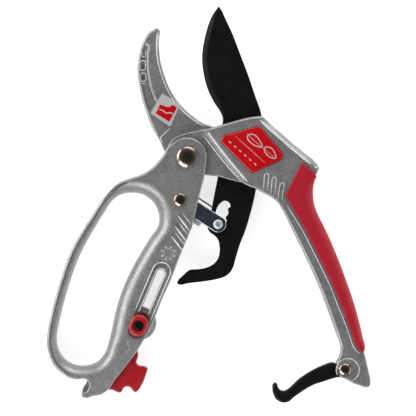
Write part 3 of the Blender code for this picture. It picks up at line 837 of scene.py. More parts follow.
def groove(path: Sequence[Point], z: float, width: float, depth: float,
           closed: bool = False) -> bpy.types.Object:
    """Make a cutter for a fine V groove in a flat face.

    Args:
        path: The groove's points in mm.
        z: The face's level.
        width: The groove's width.
        depth: The groove's depth.
        closed: Whether the groove is a loop.

    Returns:
        The cutter.
    """
    rings: list[Ring] = []
    n = len(path)
    for i, p in enumerate(path):
        q = path[i - 1] if closed or i else p
        r = path[(i + 1) % n] if closed or i < n - 1 else p
        size = math.dist(q, r) or 1e-9
        side = (-(r[1] - q[1]) / size * width / 2, (r[0] - q[0]) / size * width / 2)
        rings.append([(p[0] - side[0], p[1] - side[1], z), (p[0], p[1], z - depth),
                      (p[0] + side[0], p[1] + side[1], z),
                      (p[0], p[1], z + 0.5)])
    return loft("groove", rings, None, closed)


def paint(obj: bpy.types.Object, finish: Finish, low: float, high: float,
          where: tuple[Point, Point] = ((-300.0, -300.0), (300.0, 300.0))) -> None:
    """Give the faces that lean by some amounts another finish.

    Args:
        obj: The object.
        finish: Their finish.
        low: The least upward share of their direction.
        high: The greatest upward share.
        where: The lowest and highest x and y in mm in which they lie.
    """
    obj.data.materials.append(finish.material())
    slot = len(obj.data.materials) - 1
    for face in obj.data.polygons:
        x, y = face.center[0] / MM, face.center[1] / MM
        inside = where[0][0] < x < where[1][0] and where[0][1] < y < where[1][1]
        if inside and low < face.normal[2] < high:
            face.material_index = slot


def bevelled(name: str, outline: Outline, z: Point, finish: Finish | None,
             low: float, width: Sequence[float], depth: Sequence[float],
             flat: Sequence[float], steps: int = 6,
             edge: Finish | None = None) -> bpy.types.Object:
    """Make an outline thick, with an upper edge whose bevel varies.

    Args:
        name: The object's name.
        outline: The outline in mm.
        z: The lowest and highest z.
        finish: Its finish.
        low: The lower edge's radius.
        width: The bevel's width at each point.
        depth: The bevel's depth at each point.
        flat: How flat the bevel is at each point, from 0, round, to 1.
        steps: How many facets the bevel gets.
        edge: The bevel's lighter finish, a painted highlight, if it has its own.

    Returns:
        The object.
    """
    rings: list[Ring] = []
    for k in range(5):
        a = math.pi / 2 * (1 - k / 4)
        ring = grown(outline, -low * (1 - math.cos(a)))
        rings.append([(*p, z[0] + low - low * math.sin(a)) for p in ring])
    for k in range(steps + 1):
        t = k / steps
        a = math.pi / 2 * t
        inset = [-w * mixed(1 - math.cos(a), t, f) for w, f in zip(width, flat)]
        ring = grown(outline, inset)
        rings.append([(*p, z[1] - d + d * mixed(math.sin(a), t, f))
                      for p, d, f in zip(ring, depth, flat)])
    return paint_edge_highlight(loft(name, rings, finish), steps, len(outline), edge)


# ---- the fixed side ---------------------------------------------------------
@dataclass
class Casting:
    """Hook, pivot lug, fork head and handle arm, in one casting.

    Attributes:
        hook_round: The radius of the hook's upper edge in mm.
        pocket_depth: How far the hook's field lies below its rim.
        chamfer: The width of the head's chamfer on its outer side.
        step_width: The width of the slope from the head down to the lug.
        per: How many points each span of an outline gets.
        ridge: The points of the hook's ridge.
    """

    hook_round: float = 0.9
    pocket_depth: float = 0.7
    chamfer: float = 2.5
    step_width: float = 2.6
    per: int = 5
    ridge: list[Point] = field(default_factory=lambda: [
        (-23.2, 62.8), (-21.3, 61.6), (-21.5, 58.0), (-21.7, 52.5), (-21.4, 47.4),
        (-20.7, 42.8), (-19.5, 37.8), (-17.7, 32.8), (-16.9, 30.9)])

    def build(self) -> bpy.types.Object:
        """Make the casting and cut its gaps.

        Returns:
            The piece.
        """
        inner = HOOK_INNER + [(22.0, 14.0), (20.0, -4.0), (4.0, -8.0), (-8.0, -5.0)]
        hook = prism("casting_body", spline(HOOK_OUTER + inner, self.per), HOOK_Z,
                     SILVER, 0.8, self.hook_round, 5)
        cuts = self._gaps() + self._hook_field()
        body = shape(hook, [self._lug(), self._head()], cuts)
        merged(body, self._hook_lines() + self._head_lines())
        return dress(body, "frame", ["frame_casting"])

    def _lug(self) -> bpy.types.Object:
        """Make the thick lug round the main pivot.

        Returns:
            The lug.
        """
        top = [(-11.0, 4.6), (-9.3, 8.2), (-5.6, 11.5), (0.0, 13.3), (6.0, 14.6)]
        right = [(12.5, 15.9), (22.0, 16.0), (36.0, 4.0), (35.0, -14.0)]
        low = [(24.1, -12.6), (17.0, -10.6), (11.0, -9.9)]
        boss = arc(MAIN, 10.2, 300, 200, 9)
        # The lug's upper rounded edge gets the lighter silver: painted highlight.
        return prism("lug", spline(top + right + low + boss, self.per), LUG_Z, SILVER,
                     0.4, 0.7, 5, SILVER_SOFT_PAINTED_HIGHLIGHT)

    def _head(self) -> bpy.types.Object:
        """Make the head and arm with their varied upper bevel.

        Returns:
            The head.
        """
        points = HEAD_TOP + ARM_HIDDEN + ARM_END + ARM_INNER + STEP
        outline = spline(points, self.per)
        width: list[float] = []
        depth: list[float] = []
        flat: list[float] = []
        outer = range(5 * self.per + 1, 11 * self.per + 2)
        step_from = (len(points) - len(STEP)) * self.per + 1
        for i in range(len(outline)):
            if i in outer:
                ease = min(1.0, (i - outer[0] + 1) / 3, (outer[-1] - i + 1) / 4)
                width.append(mixed(1.2, self.chamfer, ease))
                depth.append(mixed(1.1, 1.3, ease))
                flat.append(ease)
            elif step_from <= i <= len(outline) - self.per:
                width.append(self.step_width)
                depth.append(2.1)
                flat.append(1.0)
            else:
                top = i <= 5 * self.per
                width.append(1.3 if top else 1.0)
                depth.append(1.2 if top else 0.9)
                flat.append(0.3 if top else 0.0)
        # The head's upper bevel gets the lighter silver: painted highlight.
        return bevelled("head", outline, HEAD_Z, SILVER, 0.9, width, depth, flat, 6,
                        SILVER_SOFT_PAINTED_HIGHLIGHT)

    def _gaps(self) -> list[bpy.types.Object]:
        """Make the cutters for the gaps, holes and seats.

        Returns:
            The cutters, in the order in which they are used.
        """
        gap = [
            (10.8, 24.0), (11.6, 14.0), (13.6, 6.0), (14.8, 0.0), (13.0, -9.0),
            (9.0, -24.0), (12.0, -38.0), (54.8, -38.0), (53.4, -31.5),
            (52.4, -27.0), (51.2, -22.0), (49.4, -16.0), (46.4, -6.5),
            (42.6, 6.5), (42.3, 15.0), (42.0, 30.0),
        ]
        fork = [
            (60.0, -106.0), (86.0, -106.6), (93.4, -110.0), (95.6, -117.0),
            (94.6, -140.0), (60.0, -140.0),
        ]
        leg = [(-9.5, -3.0), (9.0, -3.0), (9.0, -13.0), (-12.0, -13.0)]
        pocket = [(5.4, 3.0), (9.0, 3.0), (9.0, 9.6), (5.4, 9.6)]
        return [
            prism("seat", grown(rounded(LABEL, 2.8), 0.3), (15.7, 18.0)),
            prism("gap", gap, BLADE_GAP_Z),
            prism("fork", fork, FORK_Z),
            hole(MAIN, SHANK_R + RUNNING_GAP),
            hole(BLADE_PIN, SHANK_R + RUNNING_GAP),
            hole(LATCH_PIN, SMALL_SHANK_R + RUNNING_GAP),
            hole(LATCH_PIN, 3.8, (15.6, 18.2)),
            lathe("pocket", pocket, MAIN),
            prism("leg_slot", leg, (3.0, 6.4)),
        ]

    def _hook_field(self) -> list[bpy.types.Object]:
        """Make the cutters for the sunk field beside the hook's ridge.

        Returns:
            The cutters.
        """
        outer = [(-24.6, 61.0), (-25.9, 54.6), (-26.4, 49.0), (-26.1, 43.6),
                 (-25.3, 38.6), (-23.6, 31.2), (-21.9, 25.8)]
        inner = [(-18.0, 30.0), (-18.9, 33.2), (-20.6, 38.1), (-21.8, 43.0),
                 (-22.5, 47.5), (-22.8, 52.5), (-22.6, 57.8)]
        floor = HOOK_Z[1] - self.pocket_depth
        outline = spline(outer + inner, self.per)
        cuts = [prism("hook_field", outline, (floor, HOOK_Z[1] + 2.0))]
        for centre, size in (((-24.5, 55.2), 1.0), ((-24.5, 50.2), 1.2),
                             ((-24.1, 43.8), 1.2)):
            cuts.append(prism("pad_pocket", circle(centre, size, 24),
                              (floor - 0.7, floor + 1.0)))
        return cuts

    def _hook_lines(self) -> list[bpy.types.Object]:
        """Make the hook's ridge, its pads' rims and the fine lines near the lug, all in
        lighter silver as painted highlight.

        Returns:
            The lines.
        """
        top = HOOK_Z[1]
        floor = top - self.pocket_depth
        lines = [rail("hook_ridge", spline(self.ridge, self.per, False), top - 0.05,
                      1.3, 0.24, SILVER_SOFT_PAINTED_HIGHLIGHT)]
        rim = [(-17.5, 70.0), (-19.4, 69.2), (-21.4, 67.4), (-23.1, 64.6), (-24.8, 60.6),
               (-26.1, 54.7), (-26.7, 49.1), (-26.5, 44.0), (-25.7, 39.1), (-24.0, 31.9),
               (-21.5, 24.1), (-18.2, 16.2), (-16.2, 12.4)]
        lines.append(rail("outer_rim", spline(rim, self.per, False), top, 1.0, 0.22,
                          SILVER_SOFT_PAINTED_HIGHLIGHT))
        tip = [(-15.9, 70.6), (-15.9, 66.7), (-16.2, 60.6)]
        lines.append(rail("tip_rim", spline(tip, self.per, False), top, 0.7, 0.16,
                          SILVER_SOFT_PAINTED_HIGHLIGHT))
        for centre, half in (((-23.9, 57.8), (1.1, 2.6)), ((-24.5, 50.6), (1.6, 2.6)),
                             ((-24.3, 44.1), (1.6, 2.3))):
            corners = [(centre[0] + sx * half[0], centre[1] + sy * half[1])
                       for sx, sy in ((-1, -1), (1, -1), (1, 1), (-1, 1))]
            lines.append(rail("pad_rim", rounded(corners, 1.1, 7), floor, 0.8, 0.6,
                              SILVER_SOFT_PAINTED_HIGHLIGHT, True))
        lines.append(rail("pad_bar", [(-26.0, 40.8), (-24.4, 40.6), (-22.2, 40.4)],
                          floor, 0.9, 0.6, SILVER_SOFT_PAINTED_HIGHLIGHT))
        whole = spline(HOOK_INNER, self.per, False)
        inner = [(p[0] + n[0] * 1.35, p[1] + n[1] * 1.35)
                 for p, n in zip(whole, self._left(whole))]
        lines.append(rail("inner_highlight_line", inner[2:-3], top - 0.08, 0.7, 0.24, SILVER_PAINTED_HIGHLIGHT))
        lower = [(-9.3, 16.0), (-12.0, 13.4), (-14.5, 10.6), (-13.5, 8.0)]
        lines.append(rail("lower_ridge", spline(lower, self.per, False), top, 0.9, 0.25,
                          SILVER_SOFT_PAINTED_HIGHLIGHT))
        return lines

    @staticmethod
    def _left(path: Outline) -> Outline:
        """Find the direction to the left of a path that runs down.

        Args:
            path: The path's points.

        Returns:
            One direction for each point.
        """
        out: Outline = []
        for i in range(len(path)):
            q, r = path[max(i - 1, 0)], path[min(i + 1, len(path) - 1)]
            size = math.dist(q, r) or 1e-9
            out.append(((r[1] - q[1]) / size, -(r[0] - q[0]) / size))
        return out

    def _head_lines(self) -> list[bpy.types.Object]:
        """Make the head's lines, its ribs and the arm's fine line, all in lighter silver
        as painted highlight.

        Returns:
            The lines.
        """
        top = HEAD_Z[1]
        edge = spline([(39.9, 20.6), (45.2, 15.6), (51.2, 10.4), (57.2, 5.1),
                       (63.2, 0.2), (68.0, -3.8)], self.per, False)
        lines = [rail("chamfer_highlight_line", edge, top - 0.1, 1.3, 0.34, SILVER_PAINTED_HIGHLIGHT)]
        across = spline([(11.4, 13.9), (14.2, 10.0), (21.4, 0.6), (28.0, -7.4),
                         (33.2, -13.6)], self.per, False)
        lines.append(rail("step_highlight_line", across, top - 0.05, 1.2, 0.28, SILVER_PAINTED_HIGHLIGHT))
        foot = spline([(8.4, 13.0), (19.0, -1.0), (30.0, -13.6)], self.per, False)
        lines.append(rail("step_foot_highlight", foot, LUG_Z[1] + 0.25, 0.9, 0.4, SILVER_PAINTED_HIGHLIGHT))
        for rib in (((43.7, -10.2), (43.0, -18.4)), ((47.9, -12.2), (47.2, -20.6)),
                    ((52.2, -15.2), (50.9, -23.4))):
            turn = math.degrees(math.atan2(rib[0][1] - rib[1][1], rib[0][0] - rib[1][0]))
            bend = arc(rib[0], 1.15, turn + 90, turn - 90, 11)
            drop = (rib[1][0] - rib[0][0], rib[1][1] - rib[0][1])
            left = [(bend[0][0] + drop[0] * t, bend[0][1] + drop[1] * t)
                    for t in (1.0, 0.75, 0.5, 0.25)]
            right = [(bend[-1][0] + drop[0] * t, bend[-1][1] + drop[1] * t)
                     for t in (0.25, 0.5, 0.75, 1.0)]
            lines.append(rail("neck_rib", left + bend + right, top, 0.6, 0.18, SILVER_SOFT_PAINTED_HIGHLIGHT))
        inner = spline([(83.0, -105.5), (79.8, -95.2), (76.1, -84.8), (71.0, -71.4),
                        (66.0, -60.2), (61.0, -49.8), (56.0, -39.9), (51.3, -30.4)],
                       self.per, False)
        flipped = [(x + 2.9, y - 0.2) for x, y in inner]
        lines.append(rail("arm_highlight_line", flipped, top, 0.8, 0.3, SILVER_SOFT_PAINTED_HIGHLIGHT))
        rim = spline([(54.9, -26.6), (58.7, -32.4), (63.8, -40.8), (68.8, -50.6),
                      (73.8, -60.6), (78.6, -70.6), (83.6, -83.3), (86.4, -90.0),
                      (88.8, -96.6), (91.1, -103.3), (92.7, -106.0), (95.0, -107.9)],
                     self.per, False)
        lines.append(rail("grip_rim", rim, top, 0.8, 0.35, SILVER_SOFT_PAINTED_HIGHLIGHT))
        boss = arc((88.3, -117.0), 6.3, 205, -75, 41)
        lines.append(rail("latch_boss", boss, top, 0.7, 0.25, SILVER_SOFT_PAINTED_HIGHLIGHT))
        return lines


@dataclass
class Grip:
    """The soft cover that wraps the arm's outer side.

    Attributes:
        outer_round: The radius of its outer side in mm.
        edge_round: The radius where it meets the bare arm.
        per: How many points each span of its outline gets.
    """

    outer_round: float = 6.0
    edge_round: float = 1.0
    per: int = 5

    def build(self) -> bpy.types.Object:
        """Make the cover and hollow it round the arm.

        Returns:
            The piece.
        """
        top = spline(GRIP_TOP + GRIP_RIGHT + GRIP_LEFT, self.per)
        first = 2 * self.per
        last = self.per * (len(GRIP_TOP) + len(GRIP_RIGHT)) + 1
        radius, side = [], []
        inner = top[last + self.per:]
        for i, p in enumerate(top):
            ease = min((i - first) / (2 * self.per), (last - i) / (2 * self.per))
            room = 0.62 * min(math.dist(p, q) for q in inner)
            wide = max(self.edge_round, min(self.outer_round, room))
            radius.append(mixed(self.edge_round, wide, ease))
            side.append(mixed(17.3, 9.0, ease))
        high = GRIP_Z[1]
        front: list[Ring] = []
        for k in range(11):
            a = math.pi / 2 * k / 10
            ring = grown(top, [-r * (1 - math.cos(a)) for r in radius])
            front.append([(*p, s + (high - s) * math.sin(a)) for p, s in zip(ring, side)])
        back = [[(x, y, high - z) for x, y, z in ring] for ring in front]
        body = loft("grip_cover", back[::-1] + front, SOFT_RED)
        arm = HEAD_TOP + ARM_HIDDEN + ARM_END + ARM_INNER + [(34.0, 0.0, "c")]
        core = grown(spline(arm, self.per), PLATE_GAP)
        cutter = prism("core", core, (HEAD_Z[0] - PLATE_GAP, HEAD_Z[1] + PLATE_GAP))
        shape(body, (), [cutter])
        return dress(body, "frame", ["grip"], 40.0)


@dataclass
class Badge:
    """The domed red label in the head's seat, with a plain leaf device.

    Attributes:
        z: Its lowest and highest z in mm.
        dome: How far its middle stands above its rim.
    """

    z: Point = (16.0, 17.1)
    dome: float = 0.3

    def build(self) -> bpy.types.Object:
        """Make the label and the marks printed on it.

        Returns:
            The piece.
        """
        outline = rounded(LABEL, 2.8, 14)
        rim = self.z[1] - self.dome
        rings: list[Ring] = [[(*p, self.z[0]) for p in grown(outline, -0.1)]]
        for inset, z in ((0.0, self.z[0] + 0.15), (0.0, rim - 0.45), (0.12, rim - 0.2),
                         (0.45, rim - 0.04), (0.9, rim + 0.06), (1.6, rim + 0.17),
                         (2.6, rim + 0.25), (2.8, self.z[1])):
            rings.append([(*p, z) for p in grown(outline, -inset)])
        body = loft("badge_dome", rings, LABEL_RED)
        merged(body, self._marks())
        return dress(body, "frame", ["label_plate"], 50.0)

    def _marks(self) -> list[bpy.types.Object]:
        """Make the dividing line, the leaf and the row of dots.

        Returns:
            The marks.
        """
        z = self.z[1] - 0.02
        marks = [rail("divider", [(26.6, 11.4), (32.0, 6.6), (38.0, 1.2), (42.6, -3.0)],
                      z, 0.6, 0.06, PRINT_GREY)]
        leaf = [(33.2, 11.6), (34.8, 12.6), (37.4, 11.9), (39.6, 9.4), (41.2, 5.6),
                (37.6, 6.2), (34.7, 8.2), (33.2, 10.2)]
        marks.append(rail("leaf_rim", spline(leaf, 5), z, 0.7, 0.06, PRINT_GREY, True))
        marks.append(rail("leaf_vein", [(33.0, 12.9), (35.4, 10.4), (38.2, 7.8),
                                        (42.6, 4.2)], z, 0.55, 0.07, PRINT_GREY))
        sprig = [(42.4, 5.0), (44.0, 5.6), (46.6, 4.6), (48.2, 2.0), (48.6, -0.6),
                 (46.0, -0.2), (43.6, 1.6), (42.5, 3.6)]
        marks.append(rail("small_leaf", spline(sprig, 5), z, 0.7, 0.06, PRINT_GREY, True))
        marks.append(rail("small_vein", [(42.4, 4.6), (45.0, 2.2), (47.6, 0.2)], z,
                          0.5, 0.07, PRINT_GREY))
        for k in range(6):
            x, y = 23.6 + 2.75 * k, 8.2 - 2.42 * k
            dot = [(x - 0.75, y + 0.65), (x, y), (x + 0.75, y - 0.65)]
            marks.append(rail("dash", dot, z, 1.7, 0.06, PRINT_GREY))
        return marks


@dataclass
class HookSticker:
    """The silver diamond on the hook with its plain red flag.

    Attributes:
        z: Its lowest and highest z in mm.
        corners: The diamond's corners.
    """

    z: Point = (7.93, 8.10)
    corners: list[Point] = field(default_factory=lambda: [
        (-13.8, 35.3), (-3.9, 29.2), (-9.3, 16.7), (-20.3, 24.3)])

    def build(self) -> bpy.types.Object:
        """Make the foil and the flag on it.

        Returns:
            The piece.
        """
        body = prism("hook_foil", rounded(self.corners, 0.6, 5), self.z, FOIL, 0.0,
                     0.05, 1)
        flag = [(-14.9, 29.2, "c"), (-12.8, 28.4), (-11.4, 27.8), (-9.9, 27.9),
                (-8.4, 28.8), (-7.2, 28.5), (-5.7, 27.4, "c"), (-9.9, 19.6, "c"),
                (-17.4, 24.2, "c")]
        merged(body, [prism("flag", spline(flag, 5), (self.z[1] - 0.02, 8.14),
                            LABEL_RED)])
        fold = [(-16.0, 26.4), (-13.6, 25.9), (-11.6, 24.4), (-9.2, 24.6), (-7.6, 23.6)]
        merged(body, [rail("flag_fold", spline(fold, 4, False), 8.13, 0.7, 0.03,
                           PRINT_GREY)])
        return dress(body, "frame", ["hook_sticker"])


# ---- the loop handle --------------------------------------------------------
LOOP_RIGHT = [
    (10.5, -3.0), (9.6, -9.8), (7.2, -19.0), (5.2, -28.0), (2.7, -38.0),
    (-1.0, -47.0), (-5.0, -57.0), (-10.0, -69.8), (-13.3, -77.0),
    (-16.6, -85.2), (-19.4, -92.6), (-22.9, -98.9), (-28.1, -107.4),
    (-34.2, -115.7), (-39.7, -122.6), (-43.8, -128.2), (-47.4, -130.5),
    (-52.0, -131.4), (-56.2, -132.5), (-57.9, -131.6), (-58.2, -129.7, "c"),
    (-55.1, -128.4), (-53.8, -126.0), (-54.7, -122.9), (-57.5, -121.7, "c"),
]
LOOP_LEFT = [
    (-61.7, -122.2), (-65.4, -121.1), (-70.2, -117.9), (-73.6, -114.1),
    (-76.2, -108.1), (-77.3, -101.5), (-76.6, -94.5), (-74.7, -85.0),
    (-71.9, -74.7), (-68.2, -62.7), (-64.1, -51.8), (-58.7, -41.9),
    (-52.4, -32.0), (-46.5, -23.0), (-42.2, -18.1), (-38.2, -14.4),
    (-31.8, -11.7), (-25.1, -9.5), (-20.2, -6.5), (-15.9, -2.2),
    (-12.8, 2.1), (-10.4, 6.0),
]
FINGER_HOLE = [
    (-67.4, -78.0), (-63.0, -63.9), (-57.9, -51.3), (-51.3, -39.5),
    (-45.5, -30.0), (-40.9, -23.4), (-36.3, -20.4), (-30.0, -19.5),
    (-23.9, -20.7), (-18.6, -24.9), (-15.8, -30.6), (-15.8, -37.2),
    (-20.0, -43.6), (-25.1, -51.7), (-31.2, -62.7), (-36.4, -74.4),
    (-39.9, -86.5), (-42.4, -98.0), (-45.6, -108.0), (-48.8, -112.0),
    (-54.5, -114.5), (-61.0, -114.4), (-66.6, -111.7), (-70.6, -106.4),
    (-71.9, -100.4), (-70.3, -90.0),
]
SLASHES = ((-3.6, -31.6), (-5.4, -37.2), (-7.4, -42.6))
RECESS_FLOOR = 15.8
NOTCH_WEB = [
    (-57.8, -130.4), (-57.9, -128.6), (-57.3, -126.6), (-56.0, -124.8),
    (-55.0, -123.2), (-53.4, -123.2), (-52.6, -126.0), (-53.6, -129.4),
    (-56.0, -131.2),
]
CHANNEL = [
    (-22.0, 14.0), (-13.8, 2.6), (-12.8, -1.5), (-11.9, -6.0), (-11.6, -14.0),
    (-11.8, -24.0), (-12.0, -35.0), (-15.6, -43.4), (-21.8, -53.4),
    (-28.0, -64.4), (-33.0, -76.0), (-36.4, -87.4), (-38.9, -99.0),
    (-41.9, -108.5), (-45.6, -116.0), (-47.6, -124.0), (-46.8, -136.0),
    (-10.0, -136.0), (30.0, -60.0), (34.0, 20.0), (0.0, 24.0),
]
BUMPER = [
    (-27.0, -108.9), (-27.5, -111.2), (-28.0, -113.0), (-26.4, -114.7),
    (-23.8, -115.0), (-22.0, -115.9), (-22.8, -120.0), (-24.4, -124.2),
    (-26.4, -127.6), (-28.2, -129.2), (-29.6, -128.9), (-30.5, -127.7),
    (-31.7, -126.6), (-33.3, -126.2), (-34.9, -126.9), (-35.8, -128.6),
    (-36.9, -129.6), (-38.2, -129.4), (-41.0, -128.2), (-45.9, -127.2),
    (-47.0, -124.0), (-45.0, -116.2), (-41.4, -108.8), (-38.4, -103.6),
    (-33.0, -103.0), (-28.6, -104.6),
]
SCREW = (-26.8, -92.6)
SLOT_DIR = (0.3924, 0.9198)
SLOT_TOP = (-14.6, -64.0)
SLOT_LENGTH = 34.0


def along(point: Point, distance: float) -> Point:
    """Move a point up the slot by a distance in mm."""
    return (point[0] + SLOT_DIR[0] * distance, point[1] + SLOT_DIR[1] * distance)


@dataclass
class LoopHandle:
    """Two cheeks, the channel between them, the finger loop and the bumper.

    Attributes:
        slot_width: The slot's width in mm.
        recess: The half width of the recess round the slot.
        roll: How far the palm bar's roll reaches in from the finger hole.
        guard_round: How far the guard's roll reaches in from the hole.
        edge_round: The radius of the outer upper edge.
        per: How many points each span of an outline gets.
    """

    slot_width: float = 4.4
    recess: float = 4.6
    roll: float = 5.8
    guard_round: float = 1.8
    edge_round: float = 1.3
    per: int = 5

    def build(self) -> bpy.types.Object:
        """Make the handle with all its embossing.

        Returns:
            The piece.
        """
        round_top = arc(MAIN, 10.8, 132, 12, 9)
        outline = spline(round_top + LOOP_RIGHT + LOOP_LEFT, self.per)
        right = (9 + len(LOOP_RIGHT)) * self.per
        width = [mixed(0.8, self.edge_round, min((i - right) / 12,
                                                 (len(outline) - i) / 12))
                 for i in range(len(outline))]
        flat = [0.25] * len(outline)
        body = bevelled("loop_body", outline, HANDLE_Z, SILVER, 1.2, width, width, flat)
        shape(body, (), self._cutters())
        start = (9 + len(LOOP_RIGHT) + 1) * self.per
        guard = grown(outline, -1.9)[start:-6 * self.per]
        web = spline(NOTCH_WEB, self.per)
        merged(body, self._lines() + self._emblems() + [
            # A thin dark rail along the guard is painted shade where a groove's shadow
            # would fall; no groove is cut.
            rail("guard_painted_shade_line", guard, HANDLE_Z[1] - 0.04, 0.8, 0.12, GROOVE_PAINTED_SHADE),
            prism("notch_web", web, (4.0, 11.5), SILVER, 0.3, 0.4)])
        return dress(body, "handle", ["loop_handle"])

    def _hole(self) -> bpy.types.Object:
        """Make the finger hole's cutter, flared widely on the palm bar.

        Returns:
            The cutter.
        """
        outline = spline(FINGER_HOLE, self.per)
        flare = []
        for x, y in outline:
            bar = mixed(0.0, 1.0, (x + 46.0 - (y + 20.0) * 0.12) / 8.0)
            low = mixed(0.0, 1.0, (-98.0 - y) / 20.0)
            under = (5.0 * mixed(0.0, 1.0, (-96.0 - y) / 12.0)
                     * mixed(0.0, 1.0, (x + 75.0) / 11.0))
            flare.append(self.guard_round + max(under, self.roll * bar * (1.0 - low)))
        middle = sum(HANDLE_Z) / 2
        half = (HANDLE_Z[1] - HANDLE_Z[0]) / 2
        front: list[Ring] = []
        for k in range(13):
            a = math.pi / 2 * k / 12
            ring = grown(outline, [f * (1 - math.cos(a)) for f in flare])
            front.append([(*p, middle + half * math.sin(a)) for p in ring])
        front.append([(x, y, z + 1.0) for x, y, z in front[-1]])
        back = [[(x, y, 2 * middle - z) for x, y, z in ring] for ring in front]
        return loft("finger_cutter", back[::-1] + front[1:])

    def _cutters(self) -> list[bpy.types.Object]:
        """Make the cutters for the hole, channel, slot and drive grooves.

        Returns:
            The cutters.
        """
        low = along(SLOT_TOP, -SLOT_LENGTH)
        top = HANDLE_Z[1]
        cuts = [
            self._hole(),
            prism("channel", spline(CHANNEL, self.per), CHANNEL_Z),
            prism("slot", capsule(low, SLOT_TOP, self.slot_width / 2), (-2.0, 20.0)),
            prism("recess", capsule(low, along(SLOT_TOP, 1.2), self.recess),
                  (RECESS_FLOOR, 20.0)),
            hole(MAIN, SHANK_R + RUNNING_GAP),
            hole(MAIN, 6.2, (-2.0, 1.2)),
            hole(LINK, SMALL_SHANK_R + RUNNING_GAP),
            hole(LINK, 4.0, (-2.0, 1.2)),
        ]
        for start in SLASHES:
            end = (start[0] + 7.4, start[1] - 9.6)
            cuts.append(prism("slash", capsule(start, end, 0.95, 9), (top - 0.4, 20.0)))
        return cuts

    def _lines(self) -> list[bpy.types.Object]:
        """Make the raised lines round the slot and beside the drive grooves, in lighter
        silver as painted highlight.

        Returns:
            The lines.
        """
        low = along(SLOT_TOP, -SLOT_LENGTH)
        top = HANDLE_Z[1]
        turn = math.degrees(math.atan2(SLOT_DIR[1], SLOT_DIR[0]))
        bend = arc(along(SLOT_TOP, 1.2), self.recess + 0.4, turn - 90, turn + 90, 19)
        rim = ([along(bend[0], d) for d in (-29.0, -24.0, -16.0, -8.0)] + bend
               + [along(bend[-1], d) for d in (-8.0, -16.0, -22.0, -25.0)])
        lines = [rail("slot_rim_highlight", rim, top, 0.6, 0.2, SILVER_PAINTED_HIGHLIGHT)]
        inner = capsule(low, SLOT_TOP, self.slot_width / 2 + 0.6, 17)
        lines.append(rail("slot_lip_highlight", inner, RECESS_FLOOR, 0.6, 0.2, SILVER_PAINTED_HIGHLIGHT, True))
        for start in SLASHES:
            for shift, reach, wide, finish in (((-1.15, -0.9), 6.0, 1.1, SILVER_PAINTED_HIGHLIGHT),
                                               ((1.0, 0.8), 5.0, 0.7, SILVER_SOFT_PAINTED_HIGHLIGHT)):
                first = (start[0] + shift[0], start[1] + shift[1])
                line = [(first[0] + reach * t, first[1] - 1.3 * reach * t)
                        for t in (0.0, 0.2, 0.4, 0.6, 0.8, 1.0)]
                lines.append(rail("slash_edge_highlight", line, top - 0.05, wide, 0.35, finish))
        return lines

    def _emblems(self) -> list[bpy.types.Object]:
        """Make the plain gear device and the locking hook device.

        Returns:
            The devices.
        """
        top = HANDLE_Z[1] - 0.02
        centre = (-10.3, -52.8)
        marks = [rail("gear_hub", circle(centre, 2.5, 28), top, 0.6, 0.2, SILVER, True)]
        for k in range(8):
            a = math.radians(22.5 + 45.0 * k)
            tooth = [(centre[0] + r * math.cos(a), centre[1] + r * math.sin(a))
                     for r in (3.0, 3.4, 3.8, 4.2)]
            # The gear's teeth are in the lighter silver: painted highlight.
            marks.append(rail("gear_tooth", tooth, top, 1.7, 0.25, SILVER_SOFT_PAINTED_HIGHLIGHT))
        lock = spline([(-29.6, -100.6), (-31.4, -100.9), (-32.6, -102.4),
                       (-31.6, -104.2), (-32.2, -106.2), (-34.0, -107.4)], 4, False)
        marks.append(rail("lock_device", lock, top, 0.8, 0.2, SILVER))
        return marks

    def bumper(self) -> bpy.types.Object:
        """Make the red end stop with its latch notch.

        Returns:
            The piece.
        """
        body = prism("end_stop", spline(BUMPER, self.per), (4.0, 14.0), MOULDED_RED,
                     0.8, 0.9, 5)
        return dress(body, "handle", ["bumper"])


# ---- the blade --------------------------------------------------------------
BLADE_EDGE = [
    (17.3, 83.2, "c"), (14.0, 78.6), (11.7, 73.4), (10.3, 68.6), (9.1, 63.4),
    (8.3, 57.8), (8.2, 52.5), (8.8, 47.4), (10.1, 41.2), (12.1, 35.5),
    (15.0, 30.0), (18.5, 24.5), (19.6, 21.6), (19.4, 18.0),
]
BLADE_REST = [
    (18.9, 8.0), (18.6, -2.0), (16.9, -10.5), (15.0, -20.0), (13.5, -28.0),
    (11.9, -35.0), (11.4, -39.6), (12.4, -41.2), (14.5, -42.7), (16.8, -45.2),
    (17.8, -49.5), (17.8, -52.5), (16.8, -56.0), (14.0, -59.1), (9.8, -61.0),
    (5.2, -61.7), (1.2, -62.1), (-0.6, -63.4), (-2.9, -65.6), (-5.2, -68.0),
    (-5.4, -69.6), (-4.0, -70.2), (0.0, -69.5), (9.8, -68.3), (17.2, -66.9),
    (20.8, -65.7), (23.6, -63.5), (25.4, -60.3), (26.8, -55.2), (29.0, -48.0),
    (32.1, -40.1), (34.8, -31.0), (36.6, -24.0), (38.2, -16.0), (40.6, -4.0),
    (41.6, 8.0), (41.5, 18.0), (40.6, 24.6), (37.6, 33.4), (34.1, 43.8),
    (29.1, 57.1), (24.5, 69.0), (21.2, 76.0), (18.8, 81.2),
]
WINDOW = [
    (18.0, -25.6), (20.6, -24.0), (23.0, -24.9), (23.9, -26.9), (22.3, -28.6),
    (22.7, -30.3), (22.2, -31.8), (21.2, -32.9), (21.7, -34.9), (20.6, -37.2),
    (19.0, -39.0), (16.6, -39.4), (14.7, -37.8), (14.7, -34.6), (15.6, -30.6),
    (16.7, -27.4),
]


